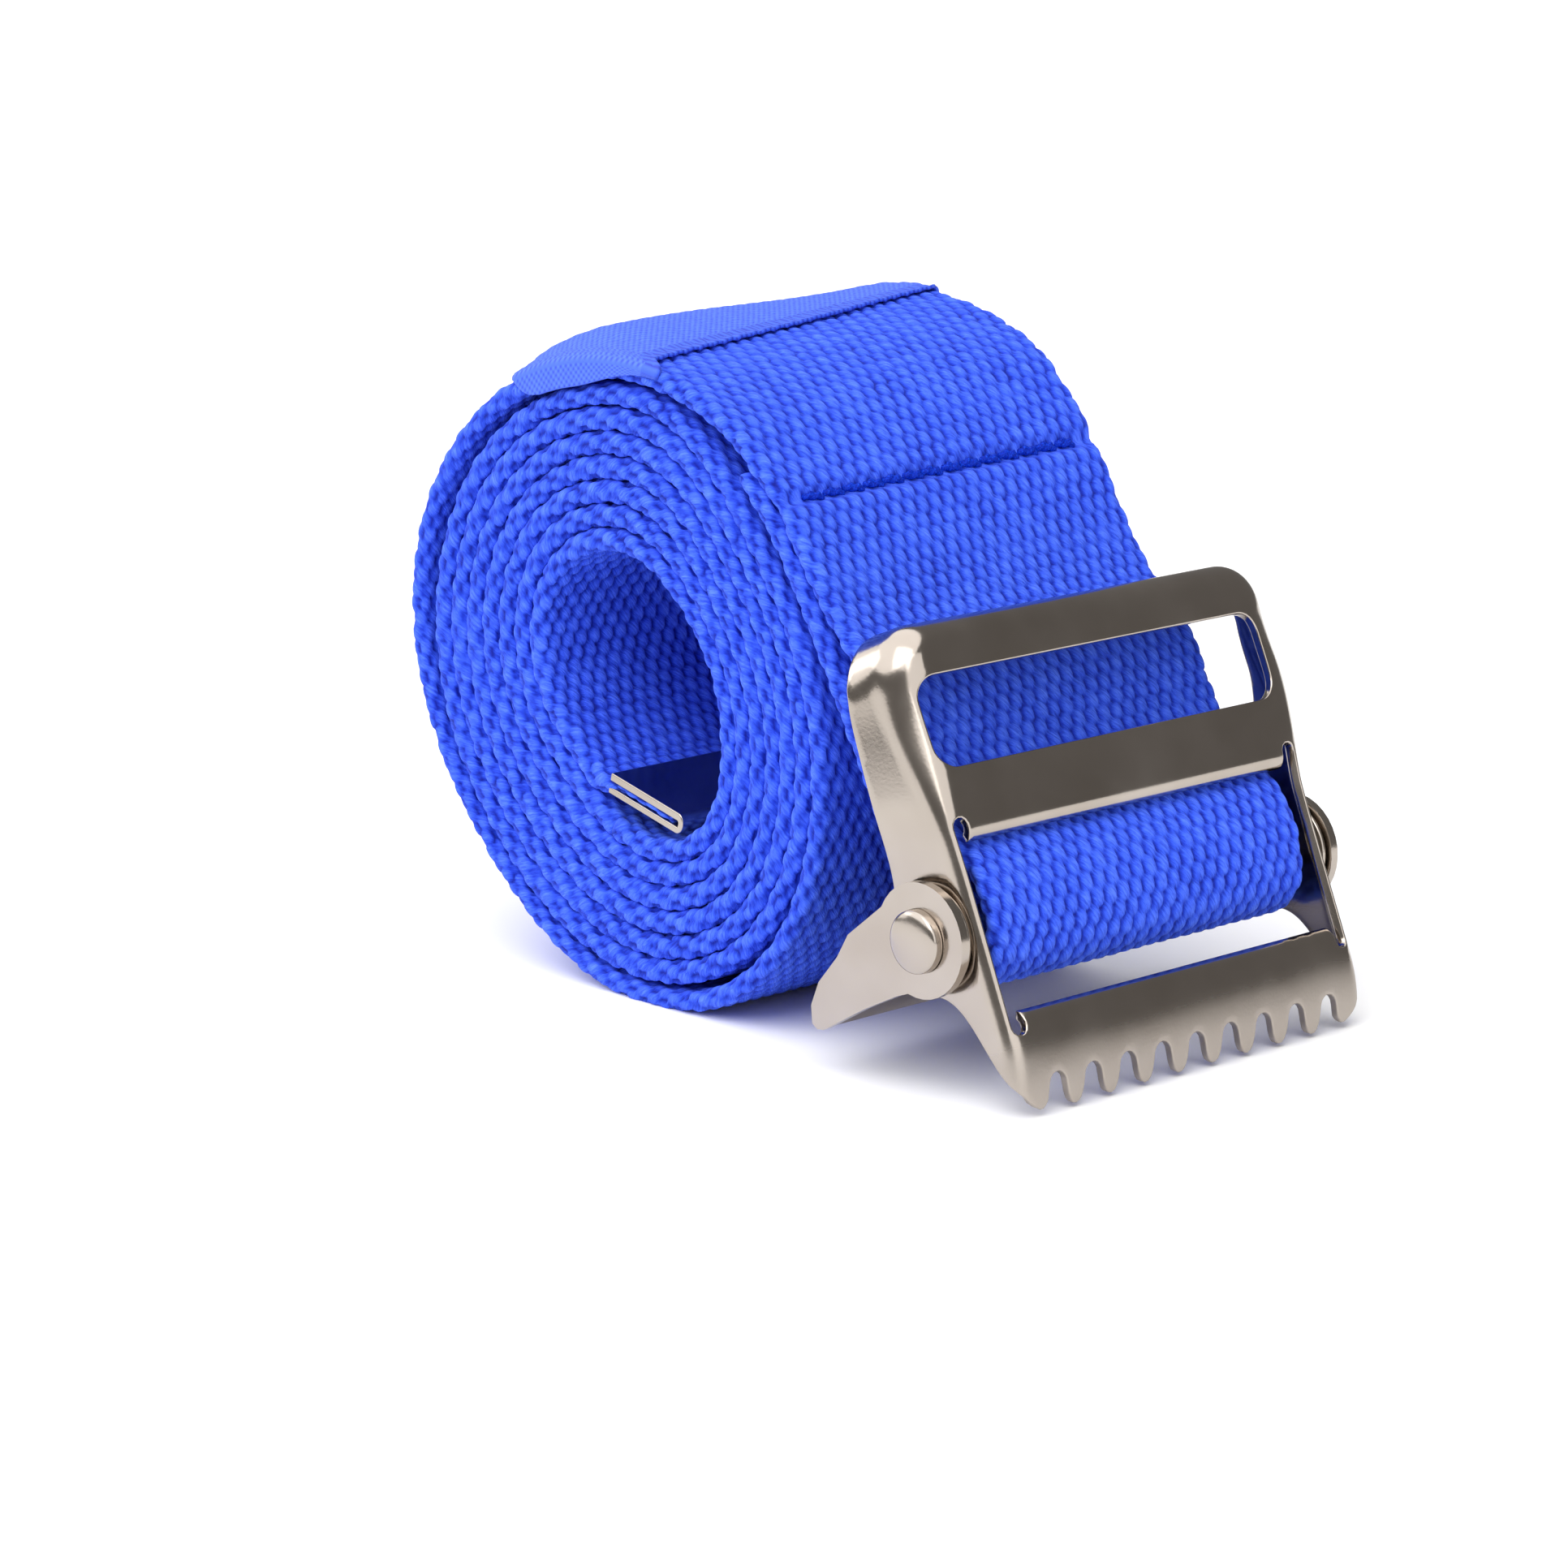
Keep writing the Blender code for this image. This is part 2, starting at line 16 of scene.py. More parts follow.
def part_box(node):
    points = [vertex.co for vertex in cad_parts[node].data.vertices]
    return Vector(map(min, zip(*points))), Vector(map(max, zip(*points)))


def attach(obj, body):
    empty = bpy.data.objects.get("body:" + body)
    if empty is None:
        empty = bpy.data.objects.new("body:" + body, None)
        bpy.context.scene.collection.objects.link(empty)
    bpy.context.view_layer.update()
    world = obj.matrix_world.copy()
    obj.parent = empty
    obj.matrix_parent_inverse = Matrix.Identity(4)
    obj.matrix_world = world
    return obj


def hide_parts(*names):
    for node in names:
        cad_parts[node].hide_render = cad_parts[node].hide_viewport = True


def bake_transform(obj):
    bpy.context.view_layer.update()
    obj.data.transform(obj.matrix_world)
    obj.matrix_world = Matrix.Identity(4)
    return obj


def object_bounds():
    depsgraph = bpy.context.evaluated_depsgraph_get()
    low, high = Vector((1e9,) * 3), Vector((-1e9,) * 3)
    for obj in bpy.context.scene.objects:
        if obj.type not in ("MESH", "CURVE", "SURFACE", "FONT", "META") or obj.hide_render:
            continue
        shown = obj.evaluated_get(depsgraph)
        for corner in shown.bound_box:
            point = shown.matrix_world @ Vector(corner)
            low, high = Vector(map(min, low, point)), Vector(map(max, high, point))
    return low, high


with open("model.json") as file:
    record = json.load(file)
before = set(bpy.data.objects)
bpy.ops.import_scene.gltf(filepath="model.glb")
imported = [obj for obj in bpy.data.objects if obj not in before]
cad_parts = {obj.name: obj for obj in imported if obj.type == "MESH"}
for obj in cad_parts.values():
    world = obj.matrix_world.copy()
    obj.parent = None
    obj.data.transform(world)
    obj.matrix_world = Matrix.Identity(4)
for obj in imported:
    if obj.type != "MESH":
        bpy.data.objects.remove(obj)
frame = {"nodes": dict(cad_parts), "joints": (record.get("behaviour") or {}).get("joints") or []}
cad_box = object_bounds()

MM = 0.001

# webbing
FLAT_W = 48.8  # flat part of each face, between the rounded selvedges
BODY_HALF = 0.80  # half thickness under the yarn crowns
CROWN = 0.50
COLUMNS = 25  # on each face, the outermost two wrapped round the selvedges
RING = 2 * COLUMNS
EDGE_COLUMN = 1.75
FACE_HALF = FLAT_W / 2 + BODY_HALF * math.pi / 2
COLUMN = 2 * (FACE_HALF - EDGE_COLUMN) / (COLUMNS - 2)
ROW = 1.80
CROWN_A = 0.94  # half width and half length of one crown
CROWN_B = 1.22
CROWN_TILT = math.radians(6)
CROWN_SQUARE = 2.2  # 2 makes each crown an ellipse, more makes it squarer
CROWN_LEAST, CROWN_VARIES = 0.92, 0.14  # smallest size of a crown, and how much is left to chance
ROW_SHIFT = 0.38  # each row lies this share of a column beside the last
NOMINAL = 2 * (BODY_HALF + CROWN * 0.9)  # thickness over the crowns of both faces
END_ROUND, END_FLAT = 1.1, 0.92  # length and share over which the cut end thins out
SEAM_BACK = 16.0  # the strap's mesh starts this far before the split
STRAP_FRONT = 60.0  # the strap's front layer, from the split to the buckle's bar, is shorter than this
OUTER_TURNS, MIDDLE_TURNS, CORE_TURNS = 1.12, 3.3, 1.1  # turns where the lengths of the roll end
SWELL_LEAST, SWELL_MOST = 0.95, 1.28
SWELL_REACH = 20  # points over which the swelling is evened out
NO_NEIGHBOUR = 1e9  # a distance that stands for none
FAR_RISE = 3.6  # the far rim of the roll's top stands higher than the near one
RISE_FROM, RISE_TO = 52.0, 73.0

# label
LABEL_T = 0.4
LABEL_SUNK = 0.05
LABEL_HALF = FLAT_W / 2 + 1.35
LABEL_FOLD_R = 0.7
LABEL_FLAP = 2.7  # depth folded down over each selvedge
FLAP_LEAST, FLAP_GROWS = 0.12, 15.0  # share of that depth at the tab, length over which it grows
LABEL_FRONT = ((-24.6, 7.4), (-12, 7.9), (0, 8.5), (26, 10.5))  # distance from the split, over y
LABEL_TAB = 4.4  # where the near tab's front edge is
TAB_FROM, TAB_TO = 0.2, 2.6  # in from the near fold, where the front edge steps back from the tab
LABEL_BACK_NEAR, LABEL_BACK_FAR = 29.5, 38.0
LABEL_CORNER = 4.0
LABEL_TENT = 2.2  # the stiff cloth stands off the webbing in the middle
TENT_NEAR = (-25.5, -17.0)  # it rises between these, across the webbing
TENT_FAR = (-16.0, 24.0)  # and sinks between these, by the next share
TENT_FADE = 0.9
TENT_GROWS = 14.0  # distance over which it rises from the front edge
HEM_T, HEM_W = 0.12, 0.7  # the front edge is a little thicker
SHOW_THROUGH = 0.22  # how far the crowns underneath lift the cloth
LABEL_ROWS = 70
LABEL_COLUMNS = 90
LOOP_PITCH, RIB_PITCH, SELVEDGE_W = 0.9, 0.8, 2.6  # of the cloth, in its own map

# stitches
STITCHES = 14
STITCH_HALF = 22.0
STITCH_R = 0.44
STITCH_FILL = 0.94  # share of the pitch that one stitch covers
STITCH_SUNK, STITCH_ARCH = 0.6, 0.5
STITCH_SLANT = 0.5
PLY, PLY_TWIST = 0.24, 7.5  # depth and turn of the two plies
STITCH_ROWS, STITCH_RING = 26, 12
GROOVE = 0.7
GROOVE_W = 0.8
GROOVE_FLAT = 0.8  # share of the crowns' height lost in the groove

# crimped end
TIP_LENGTH = 11.0
TIP_TOP, TIP_LOW, TIP_INNER = 1.35, 1.2, 0.36  # out from the webbing: upper face, lower face, gap
TIP_PRESS = 0.28  # what is left of the webbing's thickness inside it
PRESS_BEFORE, PRESS_AFTER = 1.2, 2.5  # it thins out from here to there about the metal's edge
TIP_PAST = 0.9  # how far the fold's centre lies past the end of the webbing
TIP_NOSE, TIP_CUP = 0.75, 0.6  # flatness of the fold, outside and inside

# buckle frame, as the developed sheet
LEAN_DEG = 22.9
SHEET = 1.1
FACE_N = 7.0
FACE_TOP = -33.8
BEND_R = 2.2
TOP_BEND_R = 4.0
SHOULDER_R = 5.2  # the ears' bends open out towards the top
SHOULDER_FROM, SHOULDER_TO = 9.0, 27.0
CORNER_R = 3.3
FLARE = 0.02
FLARE_FROM, FLARE_TO = 2.0, 22.0
SLOT1 = (-27.4, -17.1)
SLOT1_HALF = 26.9
SLOT1_R = 2.5
SLOT2_EDGE = 27.75
MID_LIP_U = -10.6
LOW_LIP_U = 11.8
LIP_HALF = 25.7
LIP_R = 1.9
LIP_TURN = 1.2  # radians
LIP_REACH = 3.0  # nothing further than this from a lip's edge curls with it
TOOTH_PITCH = 5.63
TOOTH_GAPS = 9
TOOTH_GAP_W = 2.7
TOOTH_ROOT_U = 17.6
TOOTH_TIP_U = 21.5
TOOTH_BEND_U = 13.5
TOOTH_DROP = 0.031  # how fast the teeth curve back
TOOTH_ROUND = ((1.2, 1.3), (0.85, 0.5), (0.45, 0.1))  # out from a tooth's middle, and up from its tip
EAR_OUTLINE = (
    (22.0, -39.9), (28.0, -39.0), (32.2, -35.6), (34.7, -31.0), (35.6, -26.0), (36.2, -20.0),
    (38.2, -7.5), (39.8, -3.4), (40.4, 0.0), (40.0, 2.8), (38.4, 5.4), (35.5, 7.2),
    (30.1, 17.0), (28.0, 19.2), (26.2, 20.7), (24.9, 21.2), (24.1, 20.4),
)
PIN_HOLE_R = 2.3
FRAME_HALF = 28.8
SPLAY_DEG = 13.0
SPLAY_FROM, SPLAY_TO = 3.0, 16.0
FAR_SPREAD = 2.6  # the far ear is bent outwards at the top
SPREAD_FROM, SPREAD_TO = 6.0, 22.0
SATIN_FROM, SATIN_TO = 12.5, 16.5  # the teeth are less polished than the rest
EDGE_R = 0.22
OUTLINE_STEP = 0.5
GRID = 0.62
SPARSE = 3  # every third grid point is kept on the flats
GRID_REACH, GRID_LOW = 44.0, 24.0
FLAT_HALF, TOP_BAND = 22.0, 9.0  # the flats lie inside these

# rivets and washers
SHANK_R = 2.0
SHANK_EASE = 0.2
HEAD_GAP = 0.12
DOME_EDGE = 0.5
DOME_TURN = 0.55
WASHER_EASE = 0.15
TURNED_STEPS = 72

# studio: name, kind, place, size (an angle for the sun) and power of each light
LIGHTS = (
    ("sky", "SUN", (-0.25, -0.35, 1.0), math.radians(105), 3.5),
    ("front", "AREA", (0.45, -0.85, 1.05), 1.1, 6.0),
    ("right", "AREA", (1.0, -0.35, 0.55), 1.1, 5.2),
    ("side", "AREA", (-0.9, -0.5, 0.35), 0.5, 1.2),
)
SKY_COLOUR = (1.0, 0.97, 0.95, 1.0)
SKY_POWER = 0.20
FLOOR_SIZE = 12.0
CAMERA_PLACE = (0.4215, -0.4051, 0.1580)
CAMERA_AZIMUTH, CAMERA_ELEVATION = math.radians(46.35), math.radians(13.07)
CAMERA_SENSOR, CAMERA_LENS = 36.0, 115.28

WHITE = (1.0, 1.0, 1.0)


# ---------------------------------------------------------------- helpers

def smoothstep(x, low, high):
    """0 below `low`, 1 above `high`, an even S between them."""
    t = np.clip((np.asarray(x, float) - low) / (high - low), 0.0, 1.0)
    return t * t * (3 - 2 * t)


def joint_place(name):
    """A joint's (x, z) in millimetres, from the record."""
    j = next(j for j in frame["joints"] if j["name"] == name)
    return j["pos_m"][0] / MM, j["pos_m"][2] / MM


def along_of(line):
    """Distance of each point along a line."""
    return np.concatenate([[0], np.cumsum(np.linalg.norm(np.diff(line, axis=0), axis=1))])


def length_of(line):
    """Whole length of a line."""
    return along_of(line)[-1]


def left_normals(line):
    """Unit normals on the left of a line."""
    d = np.gradient(line, axis=0)
    d /= np.linalg.norm(d, axis=1)[:, None]
    return np.stack([-d[:, 1], d[:, 0]], 1)


def even(line, step):
    """The same line with points `step` apart."""
    s = along_of(line)
    at = np.linspace(0, s[-1], int(round(s[-1] / step)) + 1)
    return np.stack([np.interp(at, s, line[:, k]) for k in range(line.shape[1])], 1)


def smooth_through(points, step):
    """A smooth curve through unevenly spaced points."""
    t = along_of(points)
    h = np.diff(t)[:, None]
    slope = np.diff(points, axis=0) / h
    inner = (h[1:] * slope[:-1] + h[:-1] * slope[1:]) / (h[:-1] + h[1:])
    m = np.vstack([slope[:1], inner, slope[-1:]])
    at = np.linspace(0, t[-1], int(t[-1] / step * 3) + 2)
    i = np.clip(np.searchsorted(t, at, "right") - 1, 0, len(h) - 1)
    w = h[i]
    u = (at - t[i])[:, None] / w
    a = (1 + 2 * u) * (1 - u) ** 2 * points[i] + u * (1 - u) ** 2 * w * m[i]
    b = u**2 * (3 - 2 * u) * points[i + 1] + u**2 * (u - 1) * w * m[i + 1]
    return even(a + b, step)


def averaged(line, reach):
    """The line smoothed over `reach` points to each side, its ends kept."""
    kernel = np.hanning(2 * reach + 3)[1:-1]
    kernel /= kernel.sum()
    before = 2 * line[:1] - line[reach:0:-1]
    after = 2 * line[-1:] - line[-2 : -reach - 2 : -1]
    padded = np.vstack([before, line, after])
    return np.stack([np.convolve(padded[:, k], kernel, "valid") for k in (0, 1)], 1)


def near_outline(mesh):
    """Corner points, in order, round the flat near edge of a webbing solid."""
    count = {}
    for p in mesh.polygons:
        if p.normal.y < -0.99:
            ring = []
            for v in p.vertices:
                co = mesh.vertices[v].co
                ring.append((round(co.x / MM, 3), round(co.z / MM, 3)))
            for a, b in zip(ring, ring[1:] + ring[:1]):
                e = (min(a, b), max(a, b))
                count[e] = count.get(e, 0) + 1
    # an edge that only one of those faces has is part of the outline
    beside = {}
    for (a, b), n in count.items():
        if n == 1:
            beside.setdefault(a, []).append(b)
            beside.setdefault(b, []).append(a)
    first = min(beside)
    loop = [first, beside[first][0]]
    while True:
        a, b = beside[loop[-1]]
        step = b if a == loop[-2] else a
        if step == first:
            return np.array(loop)
        loop.append(step)


def outer_side(node):
    """The outer long side and the thickness of a webbing strip, read off its CAD solid."""
    p = near_outline(frame["nodes"][node].data)
    before = p - np.roll(p, 1, axis=0)
    after = np.roll(p, -1, axis=0) - p
    before /= np.linalg.norm(before, axis=1)[:, None]
    after /= np.linalg.norm(after, axis=1)[:, None]
    # runs between sharp corners: two short ends, the inner side and the outer side
    corners = np.nonzero((before * after).sum(1) < 0.5)[0]
    p = np.roll(p, -corners[0], axis=0)
    corners = [int(c - corners[0]) for c in corners] + [len(p)]
    p = np.vstack([p, p[:1]])
    runs = [p[a : b + 1] for a, b in zip(corners[:-1], corners[1:])]
    runs.sort(key=length_of)
    return runs[-1], length_of(runs[1])


def webbing_line(step=0.35):
    """Centre line of the whole belt, from the core of the roll to the end of the loop."""
    split = np.array(joint_place("strap_flex"))
    parts = []
    for node, ends_at_split in (("webbing_roll", True), ("webbing_tail", False)):
        side, thickness = outer_side(node)
        near_start = np.linalg.norm(side[0] - split) < np.linalg.norm(side[-1] - split)
        if near_start == ends_at_split:
            side = side[::-1]
        side = smooth_through(side, step)
        parts.append(side - left_normals(side) * thickness / 2)
    roll, tail = parts
    return averaged(even(np.vstack([roll, tail[1:]]), step), 5), length_of(roll)


def on_line(line, s):
    """Points of a line, and the normals there, at distances s along it."""
    s_line = along_of(line)
    n_line = left_normals(line)
    p = np.stack([np.interp(s, s_line, line[:, k]) for k in (0, 1)], -1)
    n = np.stack([np.interp(s, s_line, n_line[:, k]) for k in (0, 1)], -1)
    return p, n


def floats(values):
    """A flat list of single-precision numbers, as mesh data takes them."""
    return np.asarray(values).astype(np.float32).ravel()


# ---------------------------------------------------------------- meshes

def shade_smooth(mesh):
    """Every face shaded smooth."""
    mesh.polygons.foreach_set("use_smooth", np.ones(len(mesh.polygons), bool))


def mesh_object(name, verts, faces, mat, body):
    """A smooth-shaded piece that rides a body, from points in millimetres."""
    mesh = bpy.data.meshes.new(name)
    mesh.from_pydata((np.asarray(verts, float) * MM).tolist(), [], [list(map(int, f)) for f in faces])
    mesh.materials.append(mat)
    shade_smooth(mesh)
    o = bpy.data.objects.new(name, mesh)
    bpy.context.scene.collection.objects.link(o)
    if body:
        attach(o, body)
    return o


def raised(verts):
    """The roll's top leans: its far rim is higher."""
    half = FLAT_W / 2 + 1
    share = (verts[:, 1] + half) / (2 * half)
    verts[:, 2] += FAR_RISE * share * smoothstep(verts[:, 2], RISE_FROM, RISE_TO)
    verts[:, 2] = np.maximum(verts[:, 2], 0.0)
    return verts


def chance(i, j):
    """A fixed number from 0 to 1 for each yarn crown."""
    return np.modf(np.abs(np.sin(i * 12.9898 + j * 78.233) * 43758.5453))[0]


def weave(c, v):
    """Height of the yarn crowns, 0 in the gaps to 1, at column c and row v."""
    best = np.zeros(np.broadcast(c, v).shape)
    for dj in (-1, 0, 1):
        j = np.round(v) + dj
        y = (v - j) * ROW
        shifted = c + ROW_SHIFT * j
        for di in (-1, 0, 1):
            i = np.floor(shifted) + di
            x = (shifted - i - 0.5) * COLUMN
            size = CROWN_LEAST + CROWN_VARIES * chance(i % RING, j)
            xr = x * math.cos(CROWN_TILT) - y * math.sin(CROWN_TILT)
            yr = x * math.sin(CROWN_TILT) + y * math.cos(CROWN_TILT)
            q = 1 - np.abs(xr / (CROWN_A * size)) ** CROWN_SQUARE
            q = q - np.abs(yr / (CROWN_B * size)) ** CROWN_SQUARE
            best = np.maximum(best, np.sqrt(np.maximum(q, 0)) * size)
    return best


def over_face(c):
    """Distance round one side of the webbing, from the middle of a selvedge, at column c."""
    inner = EDGE_COLUMN + (c - 1) * COLUMN
    last = 2 * FACE_HALF - EDGE_COLUMN * (COLUMNS - c)
    return np.where(c < 1, c * EDGE_COLUMN, np.where(c > COLUMNS - 1, last, inner))


def section(c):
    """Point and outward direction, across and through the webbing, at ring position c."""
    side = np.where(c < COLUMNS, 1, -1)
    q = over_face(c % COLUMNS) - FACE_HALF
    flat = np.clip(q, -FLAT_W / 2, FLAT_W / 2)
    turn = (q - flat) / BODY_HALF
    nw, nt = np.sin(turn) * side, np.cos(turn) * side
    return flat * side + nw * BODY_HALF, nt * BODY_HALF, nw, nt


def ring_samples(top, bottom, per, rim):
    """Ring positions: every column of a face that shows, else `rim` columns beside each selvedge."""
    every = np.arange(0, COLUMNS, 1 / per)
    few = every[(every < rim) | (every >= COLUMNS - rim)]
    return np.concatenate([every if top else few, COLUMNS + (every if bottom else few)])


def strip(
    name, line, s0, s1, body, mat, top, bottom,
    swell=None, per=6, along=0.4, rim=3, end=None, groove=None,
):
    """A length of webbing from s0 to s1 of the line, with real yarn crowns on the chosen faces."""
    c = ring_samples(top, bottom, per, rim)
    w, t, nw, nt = section(c)
    s_line = along_of(line)
    s = np.linspace(s0, s1, int(round((s1 - s0) / along)) + 1)
    p, n = on_line(line, s)
    h = weave(c[None, :], s[:, None] / ROW)
    lift = CROWN * h
    if groove is not None:
        # the row of stitches pulls the face in
        dip = np.exp(-(((s - groove) / GROOVE_W) ** 2))[:, None]
        lift = lift * (1 - GROOVE_FLAT * dip) - GROOVE * dip * np.clip(nt, 0, 1)[None, :]
    through = t[None, :] + lift * nt[None, :]
    if swell is not None:
        through = through * np.interp(s, s_line, swell)[:, None]
    if end is not None:
        # the cut end thins out
        left = np.clip(np.abs(end - s) / END_ROUND, 0, 1)
        through = through * np.sqrt(1 - (1 - left) ** 2 * END_FLAT)[:, None]
    across = w[None, :] + lift * nw[None, :]
    verts = np.stack([p[:, :1] + n[:, :1] * through, across, p[:, 1:] + n[:, 1:] * through], 2)
    # faces between the rings of points, and a cap at each end
    k, rows = len(c), len(s)
    i, j = np.meshgrid(np.arange(rows - 1), np.arange(k), indexing="ij")
    j2 = (j + 1) % k
    quads = np.stack([i * k + j, i * k + j2, (i + 1) * k + j2, (i + 1) * k + j], 2).reshape(-1, 4)
    faces = quads.tolist() + [list(range(k))[::-1], list(range((rows - 1) * k, rows * k))]
    o = mesh_object(name, raised(verts.reshape(-1, 3)), faces, mat, body)
    # each point's crown height, which the webbing's colour uses for painted shade between the crowns
    crown = o.data.attributes.new("crown", "FLOAT", "POINT")
    crown.data.foreach_set("value", floats(h))
    # the map runs round the webbing and along it, in millimetres
    uv = o.data.uv_layers.new(name="weave")
    round_at = over_face(c % COLUMNS) + np.where(c < COLUMNS, 0, 2 * FACE_HALF)
    a0, a1 = round_at[j], np.where(j2 == 0, 4 * FACE_HALF, round_at[j2])
    v0, v1 = s[i], s[i + 1]
    corner = np.stack([np.stack(pair, 2) for pair in ((a0, v0), (a1, v0), (a1, v1), (a0, v1))], 2)
    caps = np.stack([np.concatenate([round_at[::-1], round_at]), np.repeat([s0, s1], k)], 1)
    uv.data.foreach_set("uv", floats(np.concatenate([corner.reshape(-1, 2), caps])))
    return o


def stitch_place(line, split):
    """How far along the line the row of stitches crosses the strap."""
    lo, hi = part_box("loop_stitching")
    stitch = np.array([(lo.x + hi.x) / 2, (lo.z + hi.z) / 2]) / MM
    s = along_of(line)
    on_strap = (s > split) & (s < split + STRAP_FRONT)
    distance = np.where(on_strap, np.linalg.norm(line - stitch, axis=1), NO_NEIGHBOUR)
    return s[int(np.argmin(distance))]


def build_webbing(line, split, groove, mat):
    """One belt in five lengths, so that only the faces that show carry every yarn."""
    total = length_of(line)
    seam = split - SEAM_BACK
    core, inner, middle, outer = turn_marks(line, split)
    swell = turn_swell(line, split)
    strap = strip("strap_webbing", line, seam, total, None, mat, True, False, end=total, groove=groove)
    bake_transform(strap)
    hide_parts("webbing_tail")
    coarse = {"per": 5, "along": 0.46}
    turn = strip("outer_turn", line, outer, seam, "roll", mat, True, False, **coarse)
    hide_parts("webbing_roll")
    strip("middle_turns", line, middle, outer, "roll", mat, False, False, swell, rim=2, **coarse)
    strip("inner_turns", line, inner, middle, "roll", mat, False, False, swell, rim=2, **coarse)
    strip("core_turn", line, core, inner, "roll", mat, False, True, swell)


def polar(line, split):
    """Distance along, turns left to the split, and radius, of the rolled part of the line."""
    s = along_of(line)
    on = s <= split
    d = line[on] - line[on].mean(0)
    angle = np.unwrap(np.arctan2(d[:, 1], d[:, 0]))
    return s[on], np.abs(angle - angle[-1]) / (2 * math.pi), np.linalg.norm(d, axis=1)


def turn_marks(line, split):
    """Where the core, inner, middle and outer lengths start, measured along the line."""
    s, turns, _ = polar(line, split)
    marks = [float(turns[0]) - CORE_TURNS, MIDDLE_TURNS, OUTER_TURNS]
    return [0.0] + [float(s[int(np.argmin(np.abs(turns - k)))]) for k in marks]


def turn_swell(line, split):
    """Thickness factor with which each turn fills the room between its neighbours."""
    s, turns, r = polar(line, split)
    order = np.argsort(turns)
    outside = np.interp(turns - 1, turns[order], r[order])
    inside_r = np.interp(turns + 1, turns[order], r[order])
    outward = np.where(turns > 2.0, outside - r, NO_NEIGHBOUR)
    inward = np.where(turns < turns[0] - 1, r - inside_r, NO_NEIGHBOUR)
    room = np.minimum(outward, inward)
    room = np.where(room == NO_NEIGHBOUR, NOMINAL, room)
    factor = np.clip(room / NOMINAL, SWELL_LEAST, SWELL_MOST)
    factor = np.where(turns < 1.0, 1.0, factor)
    window = 2 * SWELL_REACH + 1
    factor = np.convolve(np.pad(factor, SWELL_REACH, "edge"), np.ones(window) / window, "valid")
    free = smoothstep(s, TIP_LENGTH - PRESS_BEFORE, TIP_LENGTH + PRESS_AFTER)
    factor *= TIP_PRESS + (1 - TIP_PRESS) * free
    return np.concatenate([factor, np.ones(len(line) - len(s))])


def label_stations():
    """Places across the label, as (y, share of the flap's depth, roundness of the fold)."""
    flap = [(-LABEL_HALF, share, 0.0) for share in np.linspace(0, 1, 8)]
    turn = np.linspace(0, math.pi / 2, 7)[1:]
    fold = [(-LABEL_HALF + LABEL_FOLD_R * (1 - math.cos(a)), 1.0, math.sin(a)) for a in turn]
    flat_half = LABEL_HALF - LABEL_FOLD_R
    flat = [(y, 1.0, 1.0) for y in np.linspace(-flat_half, flat_half, LABEL_COLUMNS)[1:-1]]
    near = flap + fold
    far = [(-y, share, rounded) for y, share, rounded in reversed(near)]
    return near + flat + far


def label_column(line, split, y, share, rounded):
    """Points of the label from its front edge to its back edge at one place across."""
    front = np.interp(y, *zip(*LABEL_FRONT))
    if y < 0:
        # at the near rim the label reaches further forward, as a tab
        step = smoothstep(y, -LABEL_HALF + TAB_FROM, -LABEL_HALF + TAB_TO)
        front = LABEL_TAB + (front - LABEL_TAB) * step
    back = LABEL_BACK_NEAR + (LABEL_BACK_FAR - LABEL_BACK_NEAR) * (y / LABEL_HALF + 1) / 2
    # the flap's lower back corner is round
    hem = share * LABEL_FLAP if rounded == 0 else LABEL_CORNER
    cut = max(0.0, 1 - hem / LABEL_CORNER)
    back -= LABEL_CORNER * (1 - math.sqrt(max(0.0, 1 - cut**2)))
    a = front + (back - front) * np.linspace(0, 1, LABEL_ROWS)
    flap = LABEL_FLAP * (FLAP_LEAST + (1 - FLAP_LEAST) * smoothstep(a, LABEL_TAB, LABEL_TAB + FLAP_GROWS))
    level = BODY_HALF + CROWN + LABEL_T / 2 - LABEL_SUNK - LABEL_FOLD_R
    level = level - flap * (1 - share) + LABEL_FOLD_R * rounded
    level = level + HEM_T * np.exp(-(((a - front) / HEM_W) ** 2))
    if rounded == 1:
        c = np.clip((y + FACE_HALF - EDGE_COLUMN) / COLUMN + 1, 0, COLUMNS - 0.01)
        level = level + SHOW_THROUGH * weave(np.full(LABEL_ROWS, c), (split - a) / ROW)
    across = smoothstep(y, *TENT_NEAR) * (1 - TENT_FADE * smoothstep(y, *TENT_FAR))
    level = level + LABEL_TENT * across * smoothstep(a, front, front + TENT_GROWS)
    p, n = on_line(line, split - a)
    return np.stack([p[:, 0] + n[:, 0] * level, np.full(LABEL_ROWS, y), p[:, 1] + n[:, 1] * level], 1)


